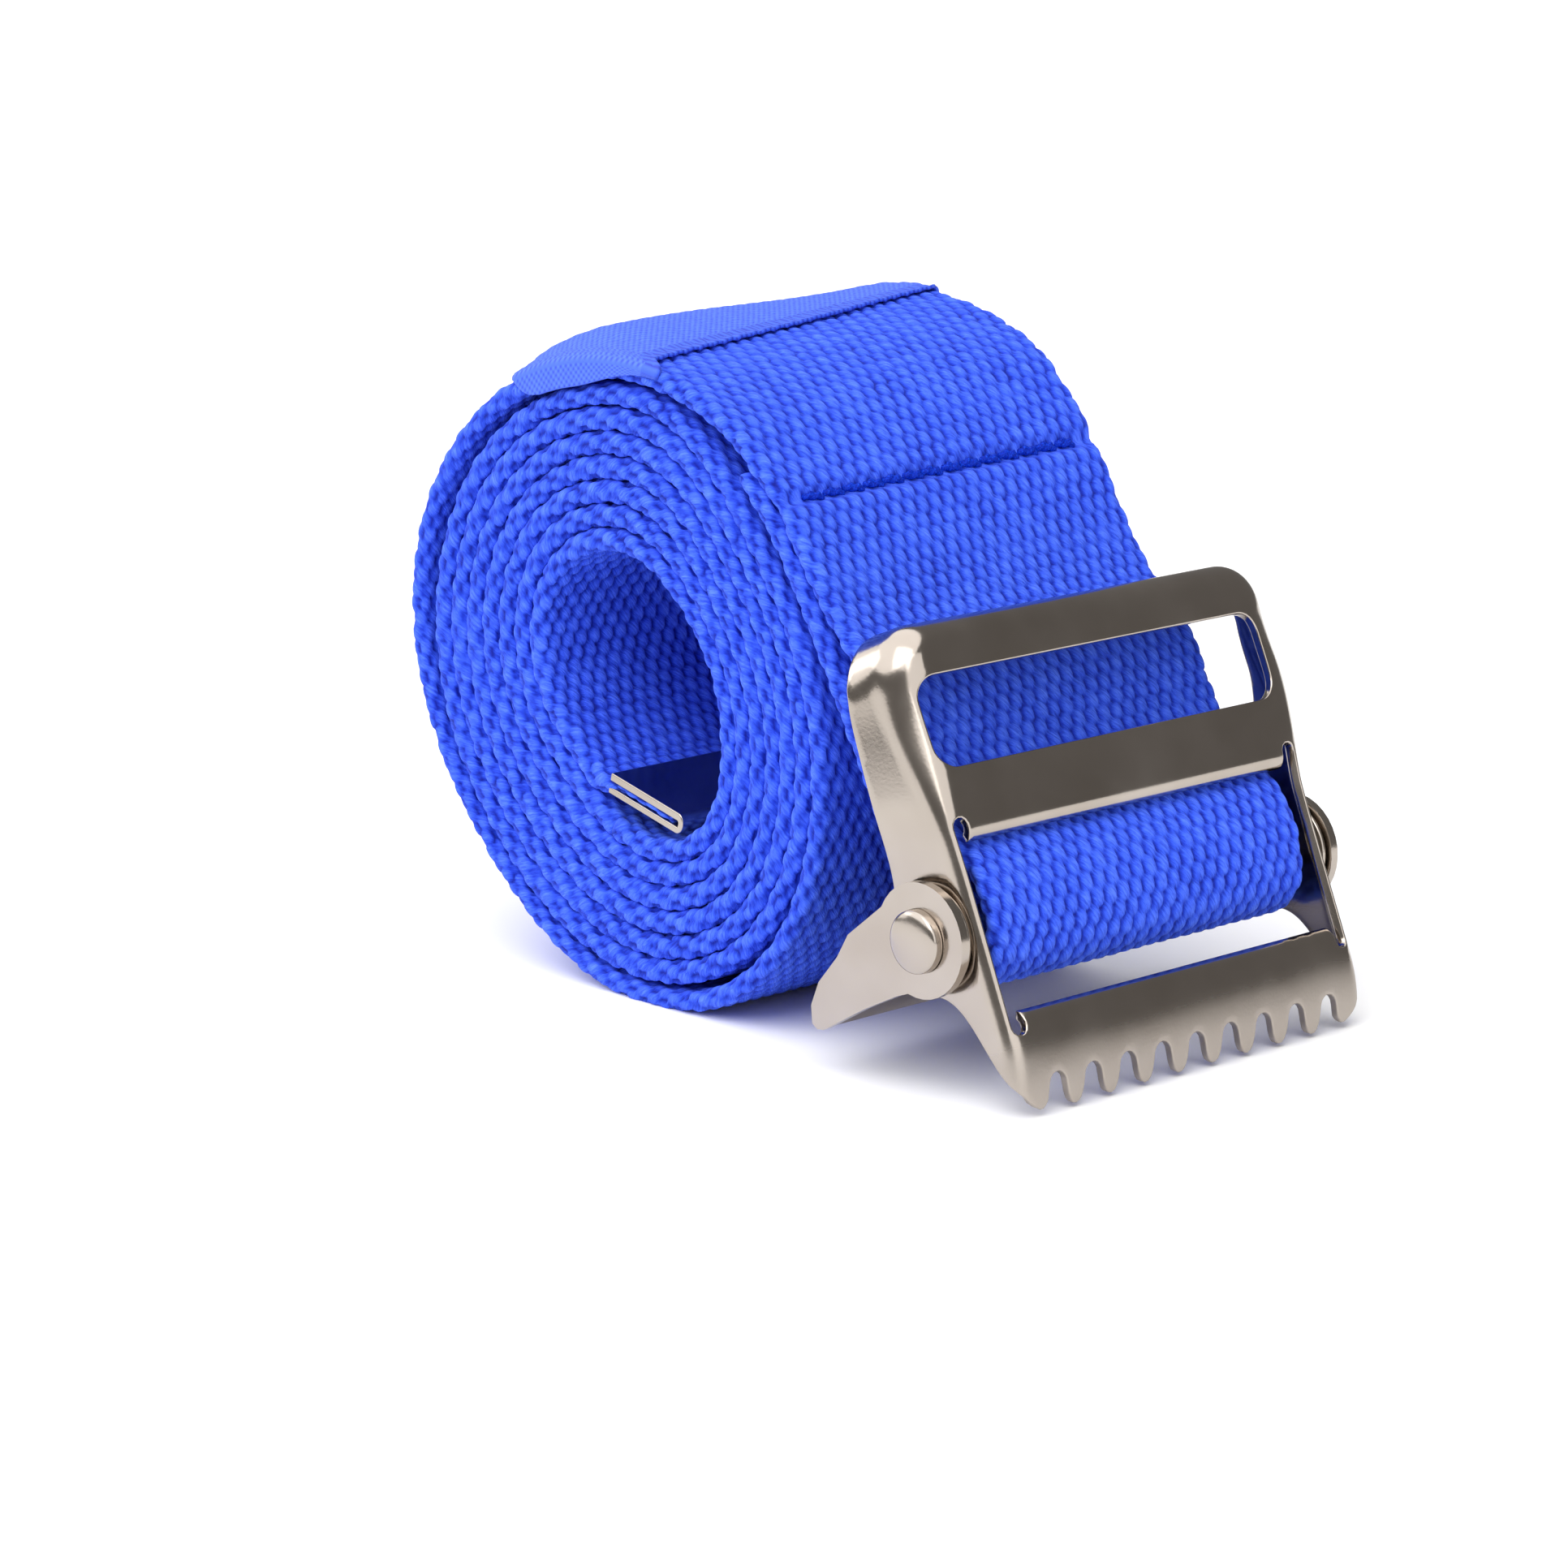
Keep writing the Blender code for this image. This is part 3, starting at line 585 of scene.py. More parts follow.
def build_label(line, split, mat):
    """The sewn cloth label: laid over the outer turn and folded down over both selvedges."""
    stations = label_stations()
    verts = np.array([label_column(line, split, *station) for station in stations])
    k, rows = verts.shape[:2]
    verts = raised(verts.reshape(-1, 3)).reshape(k, rows, 3)
    # the cloth's own map: from the front edge backwards, and across
    cloth = np.zeros((k, rows, 2))
    for m, (y, share, _) in enumerate(stations):
        flap = (1 - share) * LABEL_FLAP
        cloth[m, :, 0] = along_of(verts[m])
        cloth[m, :, 1] = y + LABEL_HALF + (flap if y > 0 else -flap)
    i, j = np.meshgrid(np.arange(k - 1), np.arange(rows - 1), indexing="ij")
    a, b = i * rows + j, (i + 1) * rows + j
    faces = np.stack([a, b, b + 1, a + 1], 2).reshape(-1, 4)
    o = mesh_object("sewn_label", verts.reshape(-1, 3), faces, mat, "roll")
    uv = o.data.uv_layers.new(name="cloth")
    uv.data.foreach_set("uv", floats(cloth.reshape(-1, 2)[faces.reshape(-1)]))
    thick = o.modifiers.new("thickness", "SOLIDIFY")
    thick.thickness = LABEL_T * MM
    thick.offset = 0
    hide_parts("woven_label")


def build_stitches(line, groove, mat):
    """A row of long lock stitches in two-ply thread, sunk in the webbing."""
    p, n = on_line(line, groove)
    d = np.array([n[1], -n[0]])
    pitch = 2 * STITCH_HALF / STITCHES
    rows, ring = STITCH_ROWS, STITCH_RING
    verts, faces = [], []
    for k in range(STITCHES):
        y0 = -STITCH_HALF + pitch * k
        base = len(verts)
        for r in range(rows):
            u = r / (rows - 1)
            y = y0 + pitch * ((1 - STITCH_FILL) / 2 + STITCH_FILL * u)
            arch = math.sin(math.pi * u)
            high = BODY_HALF - STITCH_SUNK + STITCH_ARCH * arch**0.6
            centre = p + n * high + d * (u - 0.5) * STITCH_SLANT
            radius = STITCH_R * (0.6 + 0.4 * arch**0.5)
            for m in range(ring):
                a = 2 * math.pi * m / ring
                ply = 1 + PLY * math.cos(2 * (a - u * PLY_TWIST))
                x, z = centre + n * math.sin(a) * radius * ply + d * math.cos(a) * radius * ply
                verts.append((x, y, z))
        for r in range(rows - 1):
            for m in range(ring):
                a, b = base + r * ring + m, base + r * ring + (m + 1) % ring
                faces.append((a, b, b + ring, a + ring))
        faces.append(tuple(base + m for m in reversed(range(ring))))
        faces.append(tuple(base + (rows - 1) * ring + m for m in range(ring)))
    o = mesh_object("lock_stitches", raised(np.array(verts)), faces, mat, "strap")
    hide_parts("loop_stitching")


# ---------------------------------------------------------------- buckle

def arc(cx, cz, r, start, end, n):
    """Points of an arc, degrees from the first axis towards the second."""
    return [
        (cx + r * math.cos(math.radians(t)), cz + r * math.sin(math.radians(t)))
        for t in np.linspace(start, end, n)
    ]


def inside(poly, pts):
    """Which points lie inside an outline."""
    p = np.array(poly)
    q = np.roll(p, -1, axis=0)
    x, y = pts[:, :1], pts[:, 1:]
    cross = (p[:, 1] > y) != (q[:, 1] > y)
    rise = np.where(q[:, 1] == p[:, 1], 1e-12, q[:, 1] - p[:, 1])
    at = (q[:, 0] - p[:, 0]) * (y - p[:, 1]) / rise + p[:, 0]
    return (np.sum(cross & (x < at), axis=1) % 2) == 1


def resample(poly, step, hole):
    """A closed outline with even points, the material always on its left."""
    p = np.array(poly)
    q = np.roll(p, -1, axis=0)
    area = np.sum(p[:, 0] * q[:, 1] - q[:, 0] * p[:, 1])
    if (area > 0) == hole:
        p = p[::-1]
    return even(np.vstack([p, p[:1]]), step)[:-1]


def inset(loop, distance):
    """An outline moved into the material."""
    d = np.roll(loop, -1, axis=0) - np.roll(loop, 1, axis=0)
    d /= np.linalg.norm(d, axis=1)[:, None]
    return loop + np.stack([-d[:, 1], d[:, 0]], 1) * distance


def tray_distance(y, u, frame_half):
    """Distance past the start of the rim's bends, and its share sideways and upwards."""
    qy = np.maximum(np.abs(y) - (frame_half - BEND_R - CORNER_R), 0.0)
    qu = np.maximum((FACE_TOP + TOP_BEND_R + CORNER_R) - u, 0.0)
    length = np.maximum(np.hypot(qy, qu), 1e-9)
    return length - CORNER_R, qy / length, qu / length


def fold_tray(y, u):
    """Map the flat development of the frame to its folded shape, as (n, y, u)."""
    spread = FAR_SPREAD * smoothstep(-u, SPREAD_FROM, SPREAD_TO) * (np.asarray(y) > 0)
    d, my, mu = tray_distance(y, u, FRAME_HALF + spread)
    # the rim bends back all round, in a wider arc at the shoulders
    wider = (SHOULDER_R - BEND_R) * smoothstep(-u, SHOULDER_FROM, SHOULDER_TO) * my**2
    out = np.maximum(d + wider, 0.0)
    r = np.maximum(BEND_R * my**2 + TOP_BEND_R * mu**2, BEND_R) + wider
    a = np.minimum(out / r, math.pi / 2)
    wall = np.maximum(out - r * math.pi / 2, 0.0)
    splay = math.radians(SPLAY_DEG) * smoothstep(-u, SPLAY_FROM, SPLAY_TO) * my**2
    n = FACE_N - r * (1 - np.cos(a)) - wall * np.cos(splay)
    move = out - r * np.sin(a) - wall * np.sin(splay)
    yy = y - np.sign(y) * my * move
    uu = u + mu * move
    # the teeth curve back
    low = np.maximum(u - TOOTH_BEND_U, 0.0)
    n = n - TOOTH_DROP * low**2
    # the lips of the lower slot curl back
    for edge, way in ((MID_LIP_U, 1.0), (LOW_LIP_U, -1.0)):
        past = (u - edge) * way
        on = (past > 0) & (past < LIP_REACH) & (np.abs(y) < LIP_HALF + 0.01)
        t = np.where(on, past / LIP_R, 0.0)
        n = np.where(on, n - LIP_R * (1 - np.cos(t)), n)
        uu = np.where(on, edge + way * LIP_R * np.sin(t), uu)
    yy = yy * (1 + FLARE * smoothstep(-u, FLARE_FROM, FLARE_TO))
    return n, yy, uu


def tooth_edge():
    """The developed lower edge: round gaps with a round-cornered tooth between each two."""
    edge = []
    w = TOOTH_GAP_W / 2
    for i in range(TOOTH_GAPS):
        y = TOOTH_PITCH * (i - (TOOTH_GAPS - 1) / 2)
        before, after = y - TOOTH_PITCH / 2, y + TOOTH_PITCH / 2
        lead = [(before, TOOTH_TIP_U)]
        lead += [(before + across, TOOTH_TIP_U - up) for across, up in reversed(TOOTH_ROUND)]
        tail = [(after - across, TOOTH_TIP_U - up) for across, up in TOOTH_ROUND]
        root = arc(y, TOOTH_ROOT_U + w, w, 180, 360, 13)
        edge += (lead if i else []) + root + (tail if i < TOOTH_GAPS - 1 else [])
    return edge


def slot_corners():
    """The upper slot, as four round corners."""
    h, r = SLOT1_HALF - SLOT1_R, SLOT1_R
    top, low = SLOT1[0] + r, SLOT1[1] - r
    slot = []
    for y, u, start in ((h, low, 0), (-h, low, 90), (-h, top, 180), (h, top, 270)):
        slot += arc(y, u, r, start, start + 90, 9)
    return slot


def frame_outline():
    """Developed outline of the frame, then its holes, as arrays of (y, u)."""
    ear = [tuple(p) for p in smooth_through(np.array(EAR_OUTLINE), OUTLINE_STEP)]
    outline = [(-y, u) for y, u in ear] + tooth_edge() + list(reversed(ear))
    notch = (SLOT2_EDGE - LIP_HALF) / 2
    side = [(LIP_HALF, MID_LIP_U + LIP_R * LIP_TURN)]
    side += arc(LIP_HALF + notch, MID_LIP_U, notch, 180, 360, 11)
    side += arc(LIP_HALF + notch, LOW_LIP_U, notch, 0, 180, 11)
    side += [(LIP_HALF, LOW_LIP_U - LIP_R * LIP_TURN)]
    slot2 = side + [(-y, u) for y, u in reversed(side)]
    hole_y = FRAME_HALF - BEND_R + FACE_N - BEND_R + BEND_R * math.pi / 2
    holes = [arc(way * hole_y, 0, PIN_HOLE_R, 0, 350, 36) for way in (-1, 1)]
    rings = [resample(h, OUTLINE_STEP, True) for h in [slot_corners(), slot2] + holes]
    return [resample(outline, OUTLINE_STEP, False)] + rings


def finish_metal(o, width, segments=3):
    """Edges eased as on pressed and tumbled metal."""
    b = o.modifiers.new("ease", "BEVEL")
    b.width = width * MM
    b.segments = segments
    b.limit_method = "ANGLE"
    b.angle_limit = math.radians(30)
    b.harden_normals = False
    w = o.modifiers.new("normals", "WEIGHTED_NORMAL")
    w.keep_sharp = False
    w.weight = 80


def fold_solid(y, u, depth):
    """A point `depth` under the front of the folded sheet, as (n, y, u)."""
    e = 0.002
    at, right, left, up, down = (
        np.stack(fold_tray(y + dy, u + du), -1)
        for dy, du in ((0, 0), (e, 0), (-e, 0), (0, e), (0, -e))
    )
    normal = np.cross(right - left, up - down)
    normal /= np.linalg.norm(normal, axis=-1)[:, None]
    return at - normal * depth


def in_sheet(loops, pts):
    """Which points lie inside the first outline and in none of the others."""
    ok = inside(loops[0], pts)
    for hole in loops[1:]:
        ok &= ~inside(hole, pts)
    return ok


def flat_sheet(loops):
    """Triangles over the developed sheet: close on every bend, sparse on the flats."""
    fixed = np.vstack(loops)
    edges, start = [], 0
    for loop in loops:
        k = len(loop)
        edges += [(start + i, start + (i + 1) % k) for i in range(k)]
        start += k
    across = np.arange(-GRID_REACH, GRID_REACH, GRID)
    down = np.arange(-GRID_REACH, GRID_LOW, GRID)
    y, u = np.meshgrid(across, down, indexing="ij")
    i, j = np.meshgrid(np.arange(len(across)), np.arange(len(down)), indexing="ij")
    # a slight skew, so that no two points of the grid are in line with an edge
    pts = np.stack([(y + 0.013 * u).ravel(), (u + 0.007 * y).ravel()], 1)
    py, pu = pts.T
    curl = LIP_R * LIP_TURN
    keep = (np.abs(py) > FLAT_HALF) | (pu < FACE_TOP + TOP_BAND) | (pu > TOOTH_BEND_U - 1)
    keep |= (pu > MID_LIP_U - 0.5) & (pu < MID_LIP_U + curl)
    keep |= (pu < LOW_LIP_U + 0.5) & (pu > LOW_LIP_U - curl)
    keep |= ((i % SPARSE == 0) & (j % SPARSE == 0)).ravel()
    pts = pts[keep & in_sheet(loops, pts)]
    gap = np.array([np.min(np.hypot(*(fixed - p).T)) for p in pts])
    pts = pts[gap > GRID * 0.6]
    coords = [Vector(p) for p in fixed] + [Vector(p) for p in pts]
    out = delaunay_2d_cdt(coords, edges, [], 0, 1e-6)
    flat = np.array([tuple(v) for v in out[0]])
    tri = np.array([tuple(f) for f in out[2]])
    return flat, tri[in_sheet(loops, flat[tri].mean(axis=1))]


def build_frame(mat):
    """The toothed frame, folded from one sheet, its sheared edges eased all round."""
    outlines = frame_outline()
    loops = [inset(o, EDGE_R) for o in outlines]
    flat, tri = flat_sheet(loops)
    count = len(flat)
    # the front and the back of the sheet
    parts = [fold_solid(flat[:, 0], flat[:, 1], depth) for depth in (0.0, SHEET)]
    faces = tri.tolist() + (tri[:, ::-1] + count).tolist()
    down = [flat[:, 1], flat[:, 1]]
    # the rounded edge between them, ring by ring
    quarter = np.linspace(0, math.pi / 2, 4)[1:]
    steps = [(math.sin(a), EDGE_R * (1 - math.cos(a))) for a in quarter]
    steps += [(share, SHEET - depth) for share, depth in reversed(steps)]
    total, first = 2 * count, 0
    for outline, loop in zip(outlines, loops):
        k = len(loop)
        rings = [np.arange(first, first + k)]
        for share, depth in steps:
            at = loop + (outline - loop) * share
            parts.append(fold_solid(at[:, 0], at[:, 1], depth))
            down.append(at[:, 1])
            rings.append(np.arange(total, total + k))
            total += k
        rings.append(np.arange(first, first + k) + count)
        first += k
        for a, b in zip(rings, rings[1:]):
            faces += np.stack([a, b, np.roll(b, -1), np.roll(a, -1)], 1).tolist()
    # the face leans back from the pin
    n, y, u = np.vstack(parts).T
    x0, z0 = joint_place("frame_pivot")
    lean = math.radians(LEAN_DEG)
    x = x0 + n * math.cos(lean) + u * math.sin(lean)
    z = z0 + n * math.sin(lean) - u * math.cos(lean)
    o = mesh_object("toothed_frame", np.stack([x, y, z], 1), faces, mat, "frame")
    satin = o.data.attributes.new("satin", "FLOAT", "POINT")
    satin.data.foreach_set("value", floats(smoothstep(np.concatenate(down), SATIN_FROM, SATIN_TO)))
    tidy_normals(o)
    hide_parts("buckle_frame")


def tidy_normals(o):
    """Faces turned outwards."""
    bm = bmesh.new()
    bm.from_mesh(o.data)
    bmesh.ops.recalc_face_normals(bm, faces=bm.faces)
    bm.to_mesh(o.data)
    bm.free()


def turned(name, profile, mat, x0, z0, side):
    """A (y, radius) profile turned about the pin axis; radius 0 closes an end."""
    steps = TURNED_STEPS
    turn = [(math.cos(2 * math.pi * k / steps), math.sin(2 * math.pi * k / steps)) for k in range(steps)]
    verts, rings = [], []
    for y, r in profile:
        first = len(verts)
        verts += [(x0 + r * c, side * y, z0 + r * s) for c, s in turn] if r else [(x0, side * y, z0)]
        rings.append(list(range(first, len(verts))))
    pairs = list(zip(rings, rings[1:]))
    if len(rings[0]) > 1:
        pairs.append((rings[-1], rings[0]))
    faces = []
    for a, b in pairs:
        for k in range(steps):
            m = (k + 1) % steps
            if len(a) == 1:
                f = (a[0], b[m], b[k])
            elif len(b) == 1:
                f = (a[k], a[m], b[0])
            else:
                f = (a[k], a[m], b[m], b[k])
            faces.append(f if side < 0 else f[::-1])
    o = mesh_object(name, verts, faces, mat, "clamp")
    tidy_normals(o)
    return o


def rivet_profile(inner, face, outer, head):
    """Half section of a rivet: shank, flat under the head, rounded rim and low dome."""
    rim = face + HEAD_GAP
    flank = [
        (rim + (outer - rim) * math.sin(a), head - DOME_EDGE + DOME_EDGE * math.cos(a))
        for a in np.linspace(0, DOME_TURN, 5)
    ]
    y, r = flank[-1]
    dome = [
        (y + (outer - y) * math.sin(a), r * math.cos(a))
        for a in np.linspace(0, math.pi / 2, 9)[1:-1]
    ]
    shank = [(inner, 0.0), (inner, SHANK_R - SHANK_EASE), (inner + SHANK_EASE, SHANK_R), (rim, SHANK_R)]
    return shank + [(rim, head)] + flank + dome + [(outer, 0.0)]


def washer_profile(y0, y1, r):
    """Section of a washer with eased corners."""
    e, bore = WASHER_EASE, PIN_HOLE_R
    ring = [(y0, bore + e), (y0 + e, bore), (y1 - e, bore), (y1, bore + e)]
    return ring + [(y1, r - e), (y1 - e, r), (y0 + e, r), (y0, r - e)]


def build_pins(mat):
    """Shouldered rivets with domed heads, and the washers between frame and clamp."""
    x0, z0 = joint_place("clamp_pivot")
    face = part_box("buckle_base")[1].y / MM
    for tag, side in (("left", -1), ("right", 1)):
        lo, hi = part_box(tag + "_rivet")
        inner, outer = sorted((abs(lo.y) / MM, abs(hi.y) / MM))
        profile = rivet_profile(inner, face, outer, (hi.z - lo.z) / 2 / MM)
        rivet = turned(f"{tag}_rivet_head", profile, mat, x0, z0, side)
        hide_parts(tag + "_rivet")
        lo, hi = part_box(tag + "_washer")
        y0, y1 = sorted((abs(lo.y) / MM, abs(hi.y) / MM))
        profile = washer_profile(y0, y1, (hi.z - lo.z) / 2 / MM)
        washer = turned(f"{tag}_thrust_washer", profile, mat, x0, z0, side)
        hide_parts(tag + "_washer")


def build_end_tip(line, mat):
    """The crimped metal end: a thick plate folded round the core end of the webbing."""
    end = line[0]
    d = line[0] - line[6]
    d /= np.linalg.norm(d)
    m = np.array([-d[1], d[0]])
    if m[1] < 0:
        m = -m
    nose = [
        (TIP_PAST + TIP_TOP * math.cos(t) * TIP_NOSE, (TIP_TOP if t > 0 else TIP_LOW) * math.sin(t))
        for t in np.linspace(math.pi / 2, -math.pi / 2, 17)
    ]
    cup = [
        (TIP_PAST + TIP_INNER * math.cos(t) * TIP_CUP, TIP_INNER * math.sin(t))
        for t in np.linspace(-math.pi / 2, math.pi / 2, 11)
    ]
    outline = [(-TIP_LENGTH, TIP_TOP)] + nose + [(-TIP_LENGTH, -TIP_LOW), (-TIP_LENGTH, -TIP_INNER)]
    outline += cup + [(-TIP_LENGTH, TIP_INNER)]
    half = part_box("end_tip")[1].y / MM
    k = len(outline)
    verts = []
    for y in (-half, half):
        for a, b in outline:
            x, z = end + a * d + b * m
            verts.append((x, y, z))
    faces = [(i, (i + 1) % k, k + (i + 1) % k, k + i) for i in range(k)]
    faces += [tuple(range(k)), tuple(reversed(range(k, 2 * k)))]
    o = mesh_object("crimped_end", verts, faces, mat, "roll")
    tidy_normals(o)
    finish_metal(o, 0.3, 4)
    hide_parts("end_tip")


def dress_cad_metal(mat):
    """Carried-over CAD parts: coplanar faces joined and edges eased."""
    for name, width in (("buckle_base", 0.28), ("pivot_bar", 0.3)):
        o = frame["nodes"][name]
        o.data.materials.clear()
        o.data.materials.append(mat)
        weld = o.modifiers.new("weld", "WELD")
        weld.merge_threshold = 0.000002
        flat = o.modifiers.new("flat", "DECIMATE")
        flat.decimate_type = "DISSOLVE"
        flat.angle_limit = math.radians(1.0)
        finish_metal(o, width)
        shade_smooth(o.data)


# ---------------------------------------------------------------- materials

def new_material(name):
    """A material, its node tree and its shader."""
    m = bpy.data.materials.new(name)
    m.use_nodes = True
    nt = m.node_tree
    return m, nt, nt.nodes["Principled BSDF"]


def node(nt, kind, values=None, **settings):
    """A node with its settings, and its inputs either linked or set."""
    n = nt.nodes.new(kind)
    for k, v in settings.items():
        setattr(n, k, v)
    for k, v in (values or {}).items():
        if isinstance(v, bpy.types.NodeSocket):
            nt.links.new(v, n.inputs[k])
        else:
            n.inputs[k].default_value = v
    return n


def maths(nt, operation, *values):
    """The result of one arithmetic node."""
    return node(nt, "ShaderNodeMath", dict(enumerate(values)), operation=operation).outputs[0]


def noise(nt, at, scale, detail=2.0, **inputs):
    """Soft noise from 0 to 1."""
    values = {"Vector": at, "Scale": scale, "Detail": detail, **inputs}
    return node(nt, "ShaderNodeTexNoise", values).outputs[0]


def set_bump(nt, b, height, strength, distance):
    """Relief `distance` millimetres high on the shader."""
    values = {"Height": height, "Strength": strength, "Distance": distance * MM}
    nt.links.new(node(nt, "ShaderNodeBump", values).outputs[0], b.inputs["Normal"])


def set_inputs(b, values):
    """Constants on the shader's own sockets."""
    for k, v in values.items():
        b.inputs[k].default_value = v


def ramp(nt, factor, stops):
    """A colour ramp with (position, colour) stops."""
    n = node(nt, "ShaderNodeValToRGB", {0: factor})
    r = n.color_ramp
    while len(r.elements) < len(stops):
        r.elements.new(0.5)
    for e, (at, colour) in zip(r.elements, stops):
        e.position = at
        e.color = (*colour, 1.0)
    return n.outputs[0]


def multiply(nt, a, b):
    """Product of two colours."""
    values = {0: 1.0, 6: a, 7: b}
    return node(nt, "ShaderNodeMix", values, data_type="RGBA", blend_type="MULTIPLY").outputs[2]


def webbing_material():
    """Blue cotton with painted shade between the crowns, fibres aslant inside each."""
    m, nt, b = new_material("webbing")
    uv = node(nt, "ShaderNodeUVMap", uv_map="weave").outputs[0]
    crown = node(nt, "ShaderNodeAttribute", attribute_name="crown").outputs["Fac"]
    aslant = {"Vector": uv, "Rotation": (0, 0, math.radians(-38)), "Scale": (0.22, 1.5, 1.0)}
    strands = node(nt, "ShaderNodeMapping", aslant, vector_type="TEXTURE").outputs[0]
    fibre = noise(nt, strands, 1.0, 3.0, Roughness=0.65)
    # painted shade: the colour darkens from the crowns' tops into the gaps between them
    base = ramp(nt, crown, (
        (0.0, (0.001, 0.010, 0.30)),
        (0.35, (0.009, 0.042, 0.58)),
        (0.75, (0.034, 0.102, 0.83)),
        (1.0, (0.056, 0.142, 0.91)),
    ))
    shade = ramp(nt, fibre, (
        (0.34, (0.50, 0.56, 0.74)),
        (0.5, WHITE),
        (0.66, (1.75, 1.5, 1.1)),
    ))
    broad = ramp(nt, noise(nt, uv, 0.11), ((0.3, (0.93, 0.94, 0.96)), (0.7, (1.06, 1.04, 1.02))))
    colour = multiply(nt, multiply(nt, base, shade), broad)
    nt.links.new(colour, b.inputs["Base Color"])
    set_inputs(b, {
        "Roughness": 0.82,
        "Specular IOR Level": 0.25,
        "Sheen Weight": 0.12,
        "Sheen Roughness": 0.5,
        "Sheen Tint": (0.35, 0.5, 1.0, 1.0),
    })
    set_bump(nt, b, fibre, 1.0, 0.2)
    return m


def waves(nt, at, period):
    """A sine wave along one coordinate."""
    return maths(nt, "SINE", maths(nt, "MULTIPLY", at, 2 * math.pi / period))


def label_material():
    """Fine cloth of staggered loops, with a darker ribbed selvedge along the front edge."""
    m, nt, b = new_material("label_cloth")
    uv = node(nt, "ShaderNodeUVMap", uv_map="cloth").outputs[0]
    split_uv = node(nt, "ShaderNodeSeparateXYZ", {0: uv})
    x, y = split_uv.outputs[0], split_uv.outputs[1]
    loops = maths(nt, "MULTIPLY", waves(nt, x, LOOP_PITCH), waves(nt, y, LOOP_PITCH))
    on_edge = maths(nt, "LESS_THAN", x, SELVEDGE_W)
    off_edge = maths(nt, "SUBTRACT", 1.0, on_edge)
    ribs = maths(nt, "MULTIPLY", waves(nt, y, RIB_PITCH), on_edge)
    height = maths(nt, "ADD", maths(nt, "MULTIPLY", loops, off_edge), ribs)
    level = maths(nt, "MULTIPLY_ADD", height, 0.5, 0.5)
    # painted shade: the cloth is darker in the hollows between its loops and ribs
    base = ramp(nt, level, (
        (0.0, (0.012, 0.046, 0.56)),
        (0.4, (0.040, 0.114, 0.83)),
        (1.0, (0.068, 0.165, 0.93)),
    ))
    cloud = noise(nt, uv, 0.5, 3.0)
    broad = ramp(nt, cloud, ((0.3, (0.94, 0.94, 0.96)), (0.7, (1.05, 1.04, 1.01))))
    band = ramp(nt, on_edge, ((0.0, WHITE), (1.0, (0.55, 0.70, 0.84))))
    colour = multiply(nt, multiply(nt, base, broad), band)
    nt.links.new(colour, b.inputs["Base Color"])
    set_inputs(b, {"Roughness": 0.7, "Sheen Weight": 0.15, "Sheen Tint": (0.45, 0.6, 1.0, 1.0)})
    set_bump(nt, b, level, 0.6, 0.1)
    return m


def thread_material():
    """Dark blue twisted thread."""
    m, nt, b = new_material("thread")
    at = node(nt, "ShaderNodeTexCoord").outputs["Object"]
    fibre = noise(nt, at, 5200.0)
    base = ramp(nt, fibre, (
        (0.35, (0.0, 0.010, 0.26)),
        (0.55, (0.001, 0.028, 0.46)),
        (0.75, (0.01, 0.075, 0.68)),
    ))
    nt.links.new(base, b.inputs["Base Color"])
    set_inputs(b, {"Roughness": 0.6, "Specular IOR Level": 0.12})
    set_bump(nt, b, fibre, 0.4, 0.05)
    return m


def nickel_material():
    """Warm nickel plate: hazy shine, fine grain and faint scratches, satin on the teeth."""
    m, nt, b = new_material("nickel")
    at = node(nt, "ShaderNodeTexCoord").outputs["Object"]
    satin = node(nt, "ShaderNodeAttribute", attribute_name="satin").outputs["Fac"]
    haze = noise(nt, at, 90.0, 4.0)
    grain = noise(nt, at, 2600.0)
    drawn = {"Vector": at, "Scale": (1.0, 0.06, 1.0), "Rotation": (0.3, 0.2, 0.5)}
    scratch = noise(nt, node(nt, "ShaderNodeMapping", drawn).outputs[0], 2200.0, 1.0)
    tint = ramp(nt, haze, ((0.3, (0.40, 0.352, 0.308)), (0.7, (0.46, 0.412, 0.368))))
    nt.links.new(tint, b.inputs["Base Color"])
    set_inputs(b, {"Metallic": 1.0})
    span = {"Value": haze, "From Min": 0.3, "From Max": 0.7, "To Min": 0.13, "To Max": 0.22}
    polish = node(nt, "ShaderNodeMapRange", span).outputs[0]
    rough = maths(nt, "ADD", polish, maths(nt, "MULTIPLY", satin, 0.24))
    nt.links.new(rough, b.inputs["Roughness"])
    grit = maths(nt, "MULTIPLY", grain, maths(nt, "MULTIPLY_ADD", satin, 0.9, 0.5))
    amount = maths(nt, "ADD", grit, maths(nt, "MULTIPLY", scratch, 0.12))
    set_bump(nt, b, amount, 0.35, 0.03)
    return m


# ---------------------------------------------------------------- studio

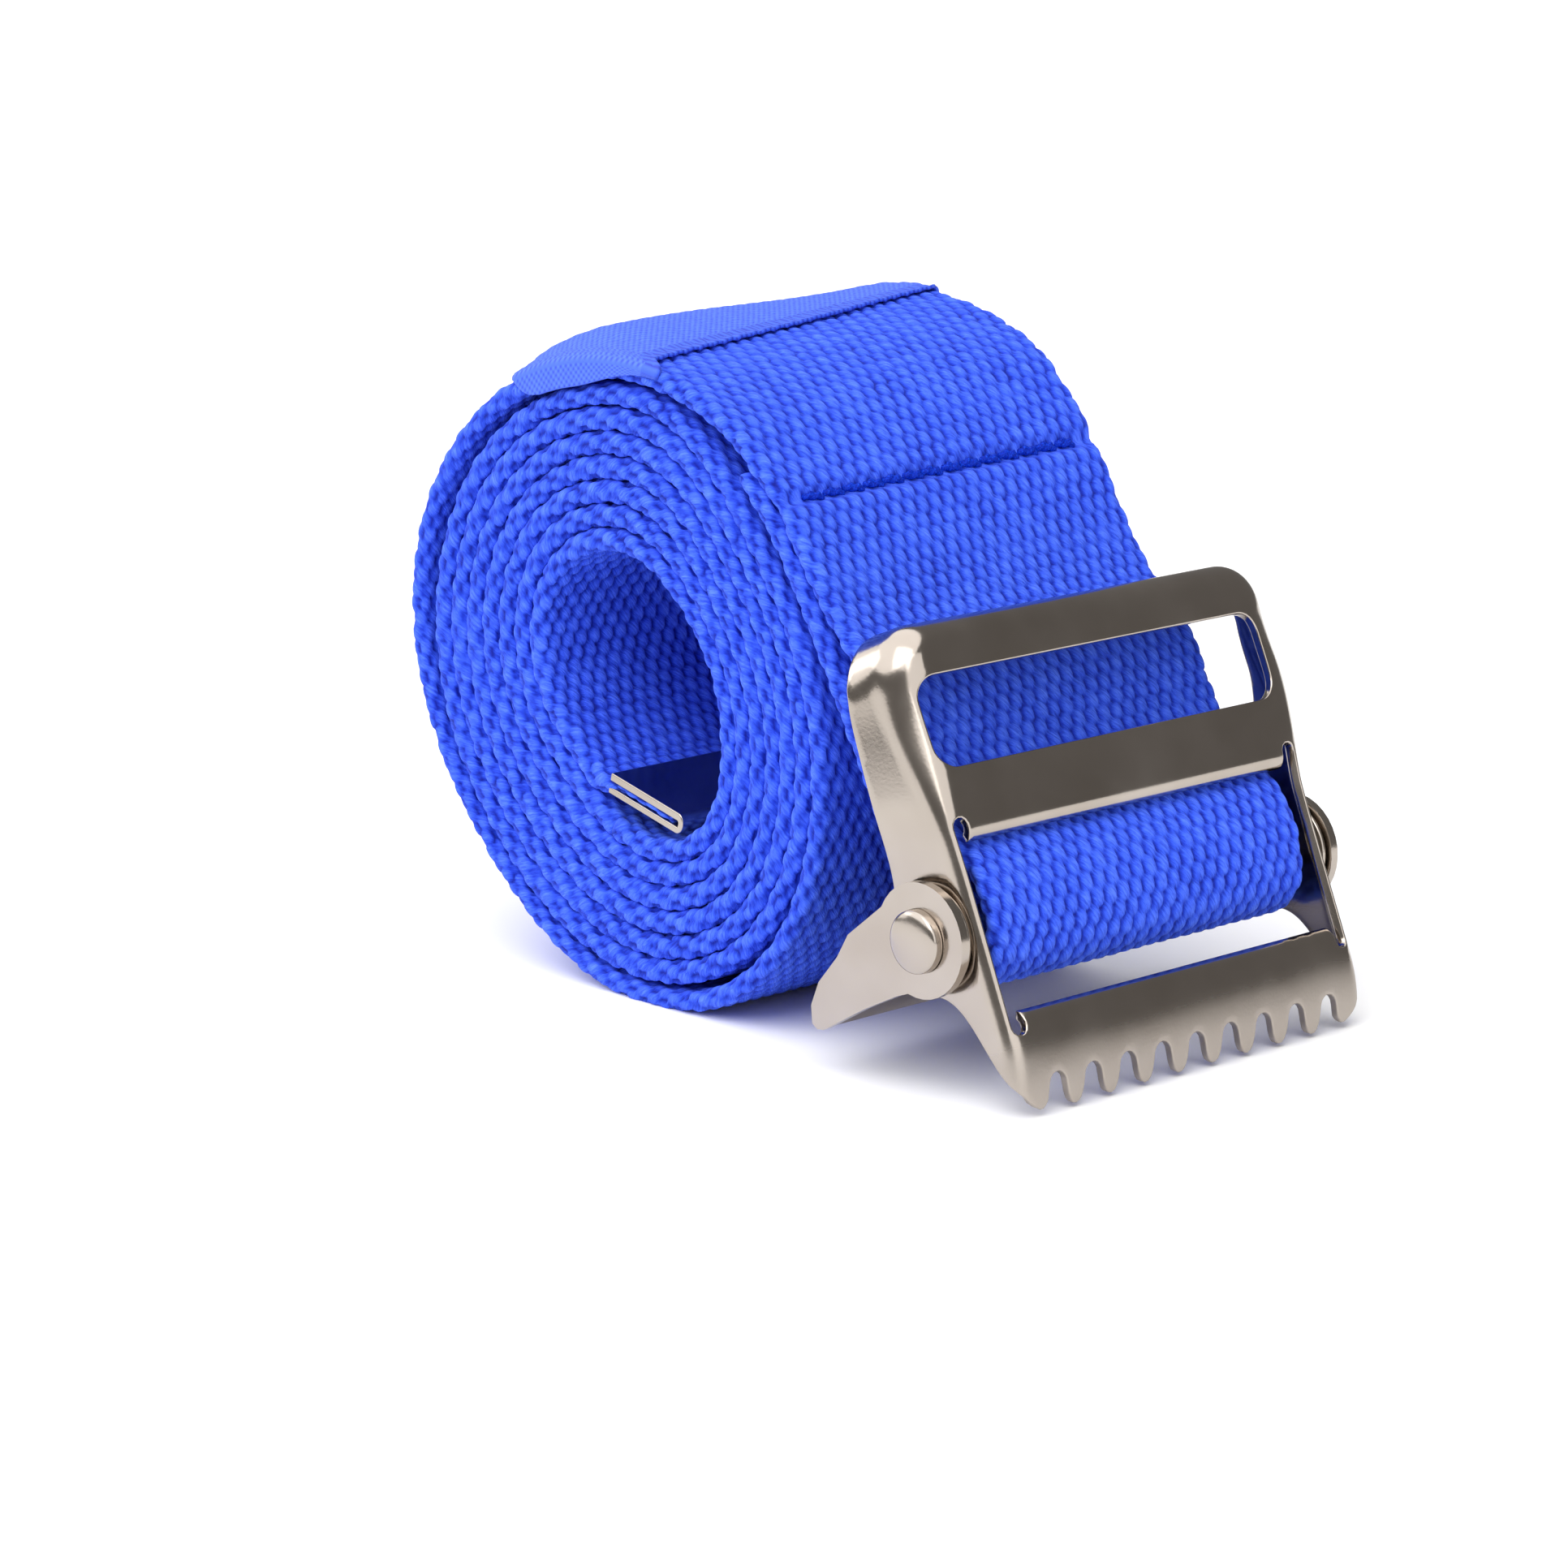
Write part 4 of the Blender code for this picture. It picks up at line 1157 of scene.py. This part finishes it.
def build_floor():
    """A plain pale floor."""
    bpy.ops.mesh.primitive_plane_add(size=FLOOR_SIZE)
    floor = bpy.context.object
    floor.name = "studio_floor"
    m, nt, b = new_material("pale_floor")
    at = node(nt, "ShaderNodeTexCoord").outputs["Object"]
    tone = ramp(nt, noise(nt, at, 3.0), ((0.3, (0.945, 0.945, 0.945)), (0.7, (0.955, 0.955, 0.955))))
    nt.links.new(tone, b.inputs["Base Color"])
    set_inputs(b, {"Roughness": 0.9})
    floor.data.materials.append(m)


def build_lights(centre):
    """A soft sky and three soft panels that face the object."""
    world = bpy.data.worlds.new("studio")
    world.use_nodes = True
    background = world.node_tree.nodes["Background"]
    background.inputs[0].default_value = SKY_COLOUR
    background.inputs[1].default_value = SKY_POWER
    bpy.context.scene.world = world
    for name, kind, place, size, power in LIGHTS:
        light = bpy.data.lights.new(name, kind)
        if kind == "SUN":
            light.angle = size
        else:
            light.size = size
        light.energy = power
        o = bpy.data.objects.new(name, light)
        bpy.context.scene.collection.objects.link(o)
        o.location = place
        o.rotation_euler = (centre - Vector(place)).to_track_quat("-Z", "Y").to_euler()


def build_camera():
    """The camera, looking along its azimuth and down by its elevation."""
    level = math.cos(CAMERA_ELEVATION)
    back = Vector((
        math.sin(CAMERA_AZIMUTH) * level,
        -math.cos(CAMERA_AZIMUTH) * level,
        math.sin(CAMERA_ELEVATION),
    ))
    cam = bpy.data.cameras.new("camera")
    cam.sensor_width = CAMERA_SENSOR
    cam.lens = CAMERA_LENS
    cam.clip_start = 0.01
    o = bpy.data.objects.new("camera", cam)
    bpy.context.scene.collection.objects.link(o)
    o.location = CAMERA_PLACE
    o.rotation_mode = "QUATERNION"
    o.rotation_quaternion = back.to_track_quat("Z", "Y")
    bpy.context.scene.camera = o


def main():
    """Every piece, then the studio round it."""
    webbing = webbing_material()
    line, split = webbing_line()
    groove = stitch_place(line, split)
    build_webbing(line, split, groove, webbing)
    build_label(line, split, label_material())
    build_stitches(line, groove, thread_material())
    nickel = nickel_material()
    build_frame(nickel)
    build_pins(nickel)
    build_end_tip(line, nickel)
    dress_cad_metal(nickel)
    build_floor()
    lo, hi = cad_box
    build_lights((lo + hi) / 2)
    build_camera()
    bpy.context.scene.view_settings.view_transform = "Standard"


main()
